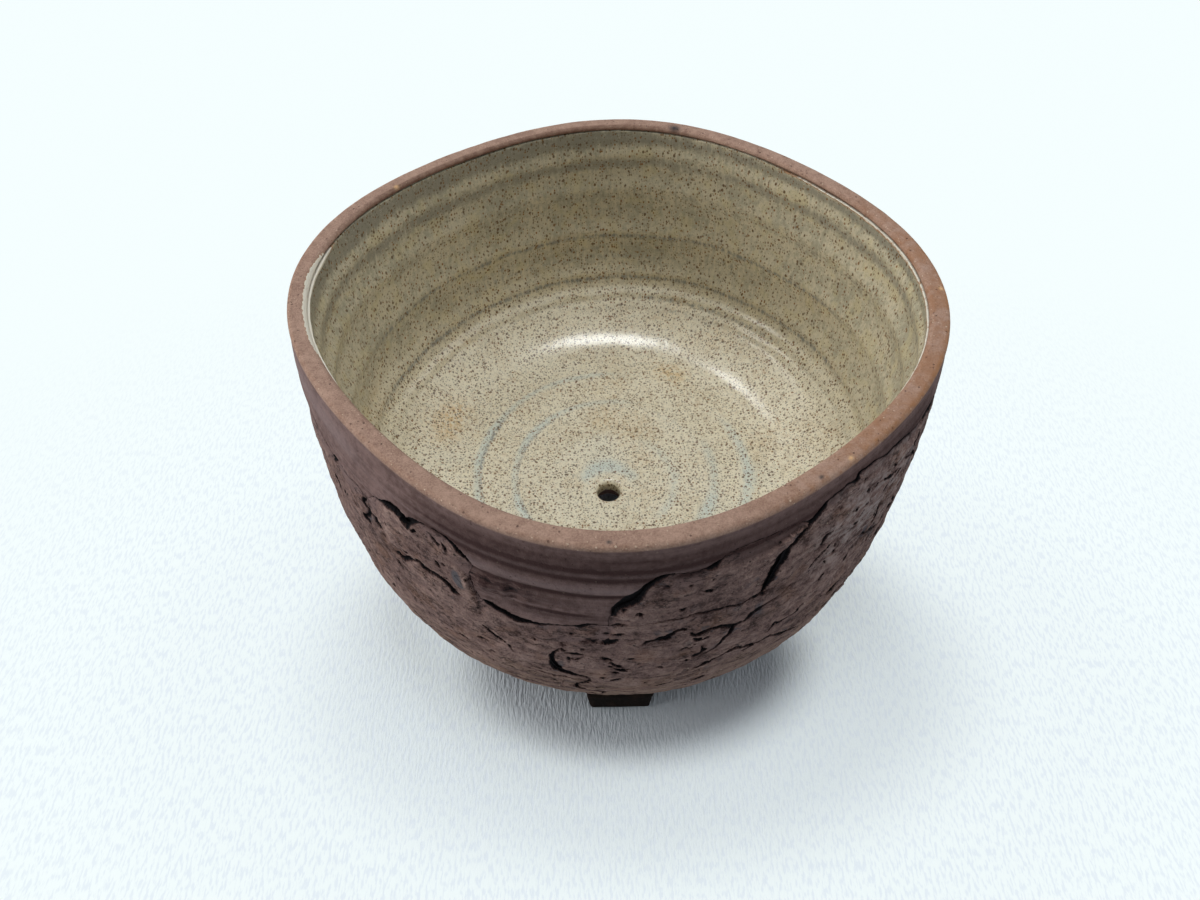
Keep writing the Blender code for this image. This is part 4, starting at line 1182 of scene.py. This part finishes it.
def glazeLining():
    section = liningSection(lining["spacing"])
    angles = np.linspace(-math.pi, math.pi, lining["columns"], endpoint=False)
    degrees = np.degrees(angles)[None, :]
    radius, height = section[:, :1], section[:, 1:]
    lineHeight = pot["rim"] - lining["lineDrop"]
    around = np.stack(np.broadcast_arrays(radius * np.cos(angles), radius * np.sin(angles), height), -1)
    wobble = layered(around, 20 * mm, 71, 2) * lining["wobble"]
    onFloor = 1 - ease((height - lining["floorTo"]) / (4 * mm))
    onWall = ease((height - lining["wallFrom"]) / (8 * mm))
    tilted = onWall * (1 - ease((height - lining["tiltTo"]) / (7 * mm)))
    ringHeight = height + (lining["ringTilt"] * np.sin(angles - math.pi / 2)[None, :] + wobble) * tilted
    ringRadius = radius + wobble * ease(radius / (30 * mm)) * 0.7
    pale = sum(share * inRange(degrees, *reach) for share, *reach in lining["paleLine"])

    bulge = ringsOf(lining["wallRings"], ringHeight) * onWall
    bulge = bulge * (1 - ease((height - lining["ringsTo"]) / (2.2 * mm)))
    floorRings = ringsOf(lining["floorRings"], ringRadius)
    bulge = bulge + floorRings * (1 - ease((height - lining["floorTo"]) / (8 * mm)))
    bulge = bulge * (1 + 0.35 * layered(around, 26 * mm, 75, 2)) + 0.05 * layered(around, 5 * mm, 78, 2)
    thick = ease((height - (lineHeight - 1.4 * mm)) / (0.8 * mm))
    thick = thick * (0.10 + 0.34 * np.minimum(pale, 1.1) + 0.16 * layered(around, 2.5 * mm, 90, 2))
    inward = -(bulge + thick) * mm
    along = alongSection(section)
    droop = lining["droop"] * (1 + layered(around[-1:], 9 * mm, 81, 2))
    droop = droop * ease((height - lining["droopFrom"]) / (4 * mm))
    faceRadius = radius + along[:, 1:] * inward
    faceHeight = height - along[:, :1] * inward - droop
    back = offsetSection(liningSection(lining["backSpacing"]), lining["thickness"])[::-1, :, None]
    backRadius, backHeight = np.repeat(back, len(angles), 2).transpose(1, 0, 2)
    topRise = faceHeight[-1:] + lining["bead"]
    allRadius = np.vstack((faceRadius, (faceRadius[-1:] + backRadius[:1]) / 2, backRadius))
    allHeight = np.vstack((faceHeight, topRise, np.minimum(backHeight, topRise - 0.15 * mm)))
    points = placed(angles[None, :], allRadius, allHeight)

    streak = ringsOf(lining["wallStreaks"], ringHeight, degrees, 22) * onWall
    streak = streak + ringsOf(lining["floorStreaks"], ringRadius, degrees, 26) * onFloor
    milk = ringsOf(lining["milkRings"], ringRadius, degrees, 30) * onFloor
    milk = milk + 0.35 * ease(layered(around, 18 * mm, 84, 2) + 0.2) * (1 - onWall)
    rust = ringsOf(lining["rustLeft"], radius, degrees, 14) * (height < lining["leftRustTo"])
    rust = rust + ringsOf(lining["rustBack"], radius, degrees, 12) * (height < lining["backRustTo"])
    rust = rust + 0.22 * ease(layered(around, 15 * mm, 87, 2) * 2 - 0.3) * (height < lining["rustTo"])
    # Ring bands: greyer where the glaze lies thick, with painted shade and light of the rings
    poolAndShade = ringsOf(lining["poolAndShades"], ringHeight) * onWall * (0.85 + 0.4 * layered(around, 24 * mm, 89, 2))
    # Painted shade of the rim: the glaze greyer towards the top, more on the back and left
    rimShade = ease((ringHeight - lining["rimShadeFrom"]) / (16 * mm))
    poolAndShade = poolAndShade + (0.14 + 0.24 * inRange(degrees, *lining["rimShadeTurn"])) * rimShade
    pale = np.minimum(pale, 1)
    paleFoot = lineHeight - (1.1 * pale + 0.5) * mm
    shades = {
        "streak": streak,
        "milk": milk,
        "rust": rust,
        "floor": 1 - ease((height - lining["shadeFrom"]) / lining["shadeFade"]),
        "pale": ease((height - droop - paleFoot) / (0.4 * mm)) * pale,
        "poolAndShade": poolAndShade,
    }
    for shade, values in shades.items():
        values = np.broadcast_to(values, around.shape[:2])
        shades[shade] = np.vstack((values, values[-1:], np.zeros_like(backRadius)))
    faces = [quad[::-1] for quad in ringFaces(len(allRadius), len(angles))]
    piece = addPiece("glaze_lining_rings", points.reshape(-1, 3), faces, speckledGlaze, shades)
    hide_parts("glaze_lining")


rimForm = {
    "rounding": 1.3 * mm,
    "baseRounding": 2.0 * mm,
    "wear": 0.22 * mm,
    "ledgeGap": 0.3 * mm,
    "sandDrop": 2.3 * mm,
    "sandFade": 1.5 * mm,
    "shadeWidth": 1.3 * mm,
    "spillWidth": 1.25 * mm,
    "bandFoot": 64 * mm,
    # from row to row on the wall, the heel, the band, the lips and the flat of the rim
    "wallStep": 2.6 * mm,
    "heelStep": 0.8 * mm,
    "bandStep": 0.46 * mm * coarser,
    "lipStep": 0.32 * mm,
    "flatStep": 0.5 * mm,
    # degrees from column to column, and where they lie closer, across the part of the band that stays bare
    "turnStep": 0.78 * coarser,
    "fineStep": 0.36 * coarser,
    "fineFrom": -142,
    "fineTo": -48,
    "turningDepth": 0.10 * mm,
    "turningWidth": 1.7 * mm,
    # first and last angle and softness of the warm side, the shaded lip and the spilt glaze
    "warm": (-76, 40, 30),
    "shaded": (62, 168, 24),
    "spilt": (163, 208, 14),
    # angle in degrees, distance from the rim's edge and size in millimetres
    "blueSpots": ((75.3, 4.0, 1.45), (-92.0, 1.6, 0.45), (-57.0, 1.4, 0.5)),
    "buffSpots": ((144.8, 4.4, 0.55), (-2.5, 1.4, 0.5), (-50.4, 1.1, 0.5)),
    "spotTurn": 1.2 * mm,
}


def bowlAngles():
    turns = [-180.0]
    while turns[-1] < 180:
        fine = rimForm["fineFrom"] < turns[-1] < rimForm["fineTo"]
        turns.append(turns[-1] + rimForm["fineStep" if fine else "turnStep"])
    return np.radians(np.array(turns[:-1]))


def wallSection(heights):
    return np.stack((wallRadius(heights), heights), -1)


# Section of the bowl from the drain hole out, up the wall and down the glaze's seat, and each part's rows
def bowlSection():
    base, rim, rounding, heel = pot["base"], pot["rim"], rimForm["rounding"], rimForm["baseRounding"]
    baseEdge, rimEdge = float(wallRadius(base)), float(wallRadius(rim))
    innerEdge = rimEdge - float(wallThickness(rim))
    bore = lining["bore"] + lining["thickness"] + lining["seatGap"]
    ledge = rim - lining["lineDrop"] + rimForm["ledgeGap"]
    step = rimForm["lipStep"]
    seat = offsetSection(liningSection(lining["seatSpacing"]), lining["thickness"] + lining["seatGap"])
    seat = seat[::-1][seat[::-1, 1] < ledge]
    parts = {
        "bottom": stretchOf((bore, base), (baseEdge - heel, base), rimForm["wallStep"]),
        "heel": arcOf((baseEdge - heel, base + heel), heel, heel, -90, 0, rimForm["heelStep"])[1:],
        "wall": wallSection(np.arange(base + 4 * mm, rimForm["bandFoot"], rimForm["wallStep"])),
        "band": wallSection(np.arange(rimForm["bandFoot"], rim - rounding, rimForm["bandStep"])),
        "outerLip": arcOf((rimEdge - rounding, rim - rounding), rounding, rounding, 0, 90, step),
        "flat": stretchOf((rimEdge - rounding, rim), (innerEdge + rounding, rim), rimForm["flatStep"])[1:],
        "innerLip": arcOf((innerEdge + rounding, rim - rounding), rounding, rounding, 90, 180, step)[1:],
        "ledge": np.array(((innerEdge, ledge), (seat[0, 0], ledge))),
        "seat": seat,
    }
    rows = {}
    first = 0
    for part, points in parts.items():
        rows[part] = slice(first, first + len(points))
        first += len(points)
    return np.vstack(list(parts.values())), rows


# The thrown band ends in a broken edge behind the skin: how far it stands off, its wash and its rings' level
def brokenBand(angles, height):
    flatX = np.broadcast_to(angles * pot["rimRadius"], height.shape)
    flatX = (flatX - topFlat[0, 0]) % fullTurn + topFlat[0, 0]
    flat = np.stack((flatX, height), -1)
    index, distance = nearest(topTree, flat.reshape(-1, 2))
    signed = distance.reshape(height.shape) * np.where(underTop(angles, height), -1, 1)
    opening = topOpening[index].reshape(height.shape)
    around = onCylinder(flat)
    crumb = (0.34 * layered(around, 2.4 * mm, 19, 3) + 0.24 * layered(around, 0.95 * mm, 20)) * mm
    start = (opening * 0.42 + 0.38 * mm + crumb) * ease(opening / skin["crumblesAt"]) - 0.45 * mm
    proud, level = bandStand(flat, np.degrees(angles)[None, :])
    stand = np.maximum(proud * ease((signed - start) / (0.5 * mm)), 0)
    covered = ease((0.1 * mm - signed) / (0.3 * mm))
    wash = np.clip(1 - (signed - start) / (0.7 * mm), 0, 1.2)
    return stand, wash * np.maximum(ease(opening / skin["washedAt"]), covered), level


def bowlBody():
    section, rows = bowlSection()
    angles = bowlAngles()
    degrees = np.degrees(angles)[None, :]
    radius = np.repeat(section[:, :1], len(angles), 1)
    height = np.repeat(section[:, 1:], len(angles), 1)
    around = np.stack((radius * np.cos(angles), radius * np.sin(angles), height), -1)
    rimEdge = float(wallRadius(pot["rim"]))
    onRim = height > pot["rim"] - rimForm["rounding"]

    # Values on one part's rows and nothing on the others
    def only(part, values):
        filled = np.zeros_like(radius)
        filled[rows[part]] = values
        return filled

    def acrossRows(part):
        return np.linspace(0, 1, rows[part].stop - rows[part].start)[:, None]

    def spots(marks):
        total = 0
        for turn, away, size in marks:
            across = (degrees - turn) * rimForm["spotTurn"]
            total = total + hump(np.hypot(across, radius - (rimEdge - away * mm)), 0, size)
        return total * onRim

    bandOff, bandWash, level = brokenBand(angles, height[rows["band"]])
    height = height - rimForm["wear"] * (0.5 + 0.5 * layered(around, 6 * mm, 101, 3)) * onRim
    rimTop = ease((height - (pot["rim"] - rimForm["sandDrop"])) / rimForm["sandFade"])
    rimTop[rows["ledge"].start:] = 0.8
    outer = only("outerLip", np.sin(np.pi * acrossRows("outerLip")))
    shadow = inRange(degrees, *rimForm["shaded"]) * 0.52
    inward = np.abs(radius - (rimEdge - float(wallThickness(pot["rim"]))))
    onTop = height > section[rows["ledge"].start, 1] - 0.1 * mm
    # Inner lip darker all round, more on the back as painted shadow, and the ledge painted dark as shade
    lip = only("innerLip", ease(acrossRows("innerLip")) * (0.3 + shadow)) + only("ledge", 0.9)
    shades = {
        "wash": only("wall", 1) + only("band", bandWash),
        "rimTop": rimTop,
        "warm": inRange(degrees, *rimForm["warm"]) * (0.50 + 0.25 * outer) + 0.12 * outer,
        # Dark wash and painted shade under the rim and in the band's creases
        "darkClayAndShade": only("band", ringsOf(band["darkClayAndShades"], level, degrees, 14)),
        # Painted light: sheen on the band's rings and its paler left side
        "paintedBandLight": only("band", ringsOf(band["paintedBandLights"], level, degrees, 14)),
        "rough": only("band", ringsOf(band["cracked"], level, degrees, 6)),
        "lip": np.maximum(lip, shadow * ease((rimForm["shadeWidth"] - inward) / (0.6 * mm)) * onTop),
        "spill": (inRange(degrees, *rimForm["spilt"]) * 1.25 - inward / rimForm["spillWidth"]) * onTop,
        "blueSpot": spots(rimForm["blueSpots"]),
        "buffSpot": spots(rimForm["buffSpots"]),
    }
    turning = np.abs(rimForm["turningDepth"] * np.sin(radius[rows["bottom"]] / rimForm["turningWidth"]))
    points = placed(angles[None, :], radius, height + only("bottom", turning), only("band", bandOff))
    faces = ringFaces(len(section), len(angles))
    piece = addPiece("thrown_bowl_body", points.reshape(-1, 3), faces, rawStoneware, shades)
    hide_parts("thrown_bowl")
    return len(faces)


feet = {
    "turns": {"foot_front": -89.5, "foot_right": 0.5, "foot_back": 90.5, "foot_left": 180.5},
    "topWidth": 21 * mm,
    "bottomWidth": 18.5 * mm,
    "depth": 14 * mm,
    "proud": 2.5 * mm,
    "rounding": 1.5 * mm,
    "joint": 0.3 * mm,
    "dent": 0.75 * mm,
    "steps": 22,
}


# Points of a cube from -1 to 1, one grid for each side, and the quads between them
def cubePoints(steps):
    line = np.linspace(-1, 1, steps + 1)
    u, v = np.meshgrid(line, line, indexing="ij")
    index = np.arange((steps + 1) ** 2).reshape(steps + 1, steps + 1)
    quads = np.stack((index[:-1, :-1], index[1:, :-1], index[1:, 1:], index[:-1, 1:]), -1).reshape(-1, 4)
    grids = []
    faces = []
    for axis, side in itertools.product(range(3), (-1, 1)):
        spots = np.zeros((steps + 1, steps + 1, 3))
        spots[..., axis] = side
        spots[..., (axis + 1) % 3] = u
        spots[..., (axis + 2) % 3] = v
        turned = quads if side > 0 else quads[:, ::-1]
        faces += (turned + len(grids) * index.size).tolist()
        grids.append(spots.reshape(-1, 3))
    return np.vstack(grids), faces


# A slab cut from rough clay: a rounded, tapered block whose faces dent inwards only
def slabFoot(name, turn, seed):
    unit, faces = cubePoints(feet["steps"])
    half = np.array((feet["topWidth"], feet["depth"], pot["base"] - feet["joint"])) / 2
    core = np.clip(unit * half, -(half - feet["rounding"]), half - feet["rounding"])
    away = unit * half - core
    length = np.linalg.norm(away, axis=1)[:, None]
    points = core + away / np.maximum(length, 1e-9) * np.minimum(length, feet["rounding"])
    points[:, 0] *= 1 - (1 - feet["bottomWidth"] / feet["topWidth"]) * (1 - (points[:, 2] / half[2] + 1) / 2)
    dent = 0.55 + 0.45 * layered(points + seed * 40 * mm, 4.5 * mm, 111, 4)
    flatEnds = 1 - ease((np.abs(unit[:, 2]) - 0.97) / 0.03)
    inset = np.clip(dent * feet["dent"], 0, 1.2 * mm)
    points[:, :2] *= 1 - (inset * (0.25 + 0.75 * flatEnds) / half[0])[:, None]
    points += (0, feet["depth"] / 2, half[2])
    angle = math.radians(turn)
    reach = float(wallRadius(pot["base"])) + feet["proud"]
    spin = Matrix.Translation((reach * math.cos(angle), reach * math.sin(angle), 0))
    spin = np.array(spin @ Matrix.Rotation(angle + math.pi / 2, 4, "Z"))
    points = points @ spin[:3, :3].T + spin[:3, 3]
    piece = addPiece(name + "_slab", points, faces, roughFoot, {}, 180)
    form = bmesh.new()
    form.from_mesh(piece.data)
    bmesh.ops.remove_doubles(form, verts=form.verts, dist=0.02 * mm)
    form.to_mesh(piece.data)
    form.free()
    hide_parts(name)


rawStoneware = stonewareMaterial()
barkSkin = barkMaterial()
speckledGlaze = glazeMaterial()
roughFoot = footMaterial()
say("materials made")

tearLines = {name: tearLine(points) for name, points in tears.items()}
topWalk = chained(topLine)
topFlat = topWalk[:, :2] + wandered(topWalk[:, :2])
topOpening = openings(topWalk)
topTree = treeOf(topFlat)
nickTree, nickRows = rowTree(nickPoints())
tearTree, tearSpots = rowTree(tearRows())
skinFaces = sum(barkPlate(name, names) for name, names in plates.items())
say("bark skin of %d faces" % skinFaces)
say("bowl of %d faces" % bowlBody())
glazeLining()
say("glaze lining made")
for seed, (name, turn) in enumerate(feet["turns"].items()):
    slabFoot(name, turn, seed)
say("feet made")


table = {
    "half": 1.6,
    "colour": (0.680, 0.737, 0.790, 1),
    "shade": (0.632, 0.688, 0.745, 1),
    # white of the painted glow, and the emboss's painted shade in it
    "far": (0.913, 0.995, 1.0, 1),
    "near": (0.805, 0.885, 0.948, 1),
    "roughness": 0.75,
    "gleam": 0.2,
    "depth": 0.60 * mm,
    "stretch": (1, 1.6, 1),
    # middle of the pot's shadow on the floor, from which the painted glow grows, and the distances from the
    # pot's axis inside which it stays out
    "middle": (6 * mm, -96 * mm, 0),
    "under": (56 * mm, 76 * mm),
    # first and last distance of each step towards the white glow that paints the light round the pot's
    # shadow, and its share
    "steps": ((39 * mm, 62 * mm, 0.50), (76 * mm, 122 * mm, 0.40), (115 * mm, 190 * mm, 0.10)),
    "plain": (120 * mm, 380 * mm),
}


# Pale paper underlay with a fine wavy emboss. For camera rays a white glow is mixed in, growing with distance
# from the pot's shadow: painted light that shapes the shadow's edge
def paperFloor():
    material, spot = newMaterial("paperFloor")
    wavy = spot.stretched((1, 0.26, 1)).noise(0.80 * mm, 2)
    slow = spot.noise(60 * mm, 2)
    colour = spot.blend((wavy * 0.7 + slow * 0.3).between(0.35, 0.65), table["colour"], table["shade"])
    paper = spot.shader(table, colour, table["roughness"], wavy)
    away = spot.node("VectorMath", {"operation": "DISTANCE"},
                     {0: spot.stretched(table["stretch"]), 1: table["middle"]}, "Value")
    clear = spot.node("VectorMath", {"operation": "LENGTH"}, {0: spot}, "Value").between(*table["under"])
    # Painted shade of the emboss in the glow, near the pot only
    paintedEmbossShade = (1 - wavy.between(0.37, 0.54)) * (1 - away.between(*table["plain"]))
    far = spot.node("Emission", {}, {"Color": spot.blend(paintedEmbossShade, table["far"], table["near"]), "Strength": 1.0})
    seen = spot.node("LightPath", {}, {}, "Is Camera Ray")
    # Share of the painted glow: none at the core of the pot's shadow, rising in steps with distance
    share = sum(away.between(first, last) * part for first, last, part in table["steps"]) * seen * clear
    spot.node("OutputMaterial", {}, {"Surface": spot.node("MixShader", {}, {0: share, 1: paper, 2: far})})
    size = table["half"]
    mesh = bpy.data.meshes.new("paper_floor")
    corners = [(-size, -size, 0), (size, -size, 0), (size, size, 0), (-size, size, 0)]
    mesh.from_pydata(corners, [], [(0, 1, 2, 3)])
    mesh.materials.append(material)
    sheet = bpy.data.objects.new("paper_floor", mesh)
    bpy.context.collection.objects.link(sheet)


light = {
    "world": (0.88, 0.95, 1.0, 1),
    "worldLevel": 0.18,
    "seen": (0.93, 0.99, 1.0, 1),
    # the middle of both ends and the width of each panel in metres, its radiance and its tint
    "panels": {
        "overhead": ((-0.175, 0.08, 1.2), (0.26, -0.01, 1.2), 0.20, 20.0, (0.95, 0.99, 1.0)),
        "overheadLeft": ((-0.335, 0.33, 1.18), (-0.325, 0.57, 1.18), 0.13, 16.5, (0.95, 0.99, 1.0)),
        "windowLeft": ((-1.5, -0.65, 0.55), (-1.5, 0.65, 0.55), 0.9, 4.2, (1.0, 0.98, 0.95)),
        "windowRight": ((1.5, -0.7, 0.6), (1.5, 0.6, 0.6), 0.8, 1.4, (0.98, 0.99, 1.0)),
    },
}


# A soft lamp that faces the pot
def addPanel(name, first, last, width, radiance, tint):
    first, last = Vector(first), Vector(last)
    lamp = bpy.data.lights.new(name, "AREA")
    lamp.shape = "RECTANGLE"
    lamp.size = (last - first).length
    lamp.size_y = width
    lamp.energy = radiance * math.pi * lamp.size * width
    lamp.color = tint
    panel = bpy.data.objects.new(name, lamp)
    bpy.context.collection.objects.link(panel)
    along = (last - first).normalized()
    away = (first + last) / 2
    away = (away - away.dot(along) * along).normalized()
    axes = Matrix((along, away.cross(along), away)).transposed()
    panel.matrix_world = Matrix.Translation((first + last) / 2) @ axes.to_4x4()


def lightRoom():
    world = bpy.data.worlds.new("soft room")
    bpy.context.scene.world = world
    world.use_nodes = True
    world.node_tree.nodes.clear()
    start = Tint(world.node_tree)
    path = start.node("LightPath", {}, {}, "Is Camera Ray")
    seen = path.most(path.other("Is Glossy Ray")).most(path.other("Is Transmission Ray"))
    dim = start.node("Background", {}, {"Color": light["world"], "Strength": light["worldLevel"]})
    white = start.node("Background", {}, {"Color": light["seen"], "Strength": 1.0})
    shown = start.node("MixShader", {}, {0: seen, 1: dim, 2: white})
    start.node("OutputWorld", {}, {"Surface": shown})
    for name, panel in light["panels"].items():
        addPanel(name, *panel)


# Place of the camera, its angles in degrees and its lens in millimetres
view = {
    "eye": (-4.7 * mm, -192.88 * mm, 255.71 * mm),
    "pitch": 49.48,
    "roll": 0.52,
    "lens": 27.03,
    "sensor": 36,
}


def addCamera():
    pitch, roll = math.radians(view["pitch"]), math.radians(view["roll"])
    ahead = Vector((0, math.cos(pitch), -math.sin(pitch)))
    down = Vector((0, -math.sin(pitch), -math.cos(pitch)))
    right = Vector((1, 0, 0))
    tilted = math.cos(roll) * right + math.sin(roll) * down
    lowered = math.cos(roll) * down - math.sin(roll) * right
    camera = bpy.data.objects.new("camera", bpy.data.cameras.new("camera"))
    bpy.context.collection.objects.link(camera)
    camera.data.sensor_width = view["sensor"]
    camera.data.lens = view["lens"]
    camera.data.clip_start = 0.01
    axes = Matrix((tilted, -lowered, -ahead)).transposed()
    camera.matrix_world = Matrix.Translation(view["eye"]) @ axes.to_4x4()
    bpy.context.scene.camera = camera


paperFloor()
lightRoom()
addCamera()
bpy.context.scene.view_settings.view_transform = "Standard"
say("room, light and camera made")
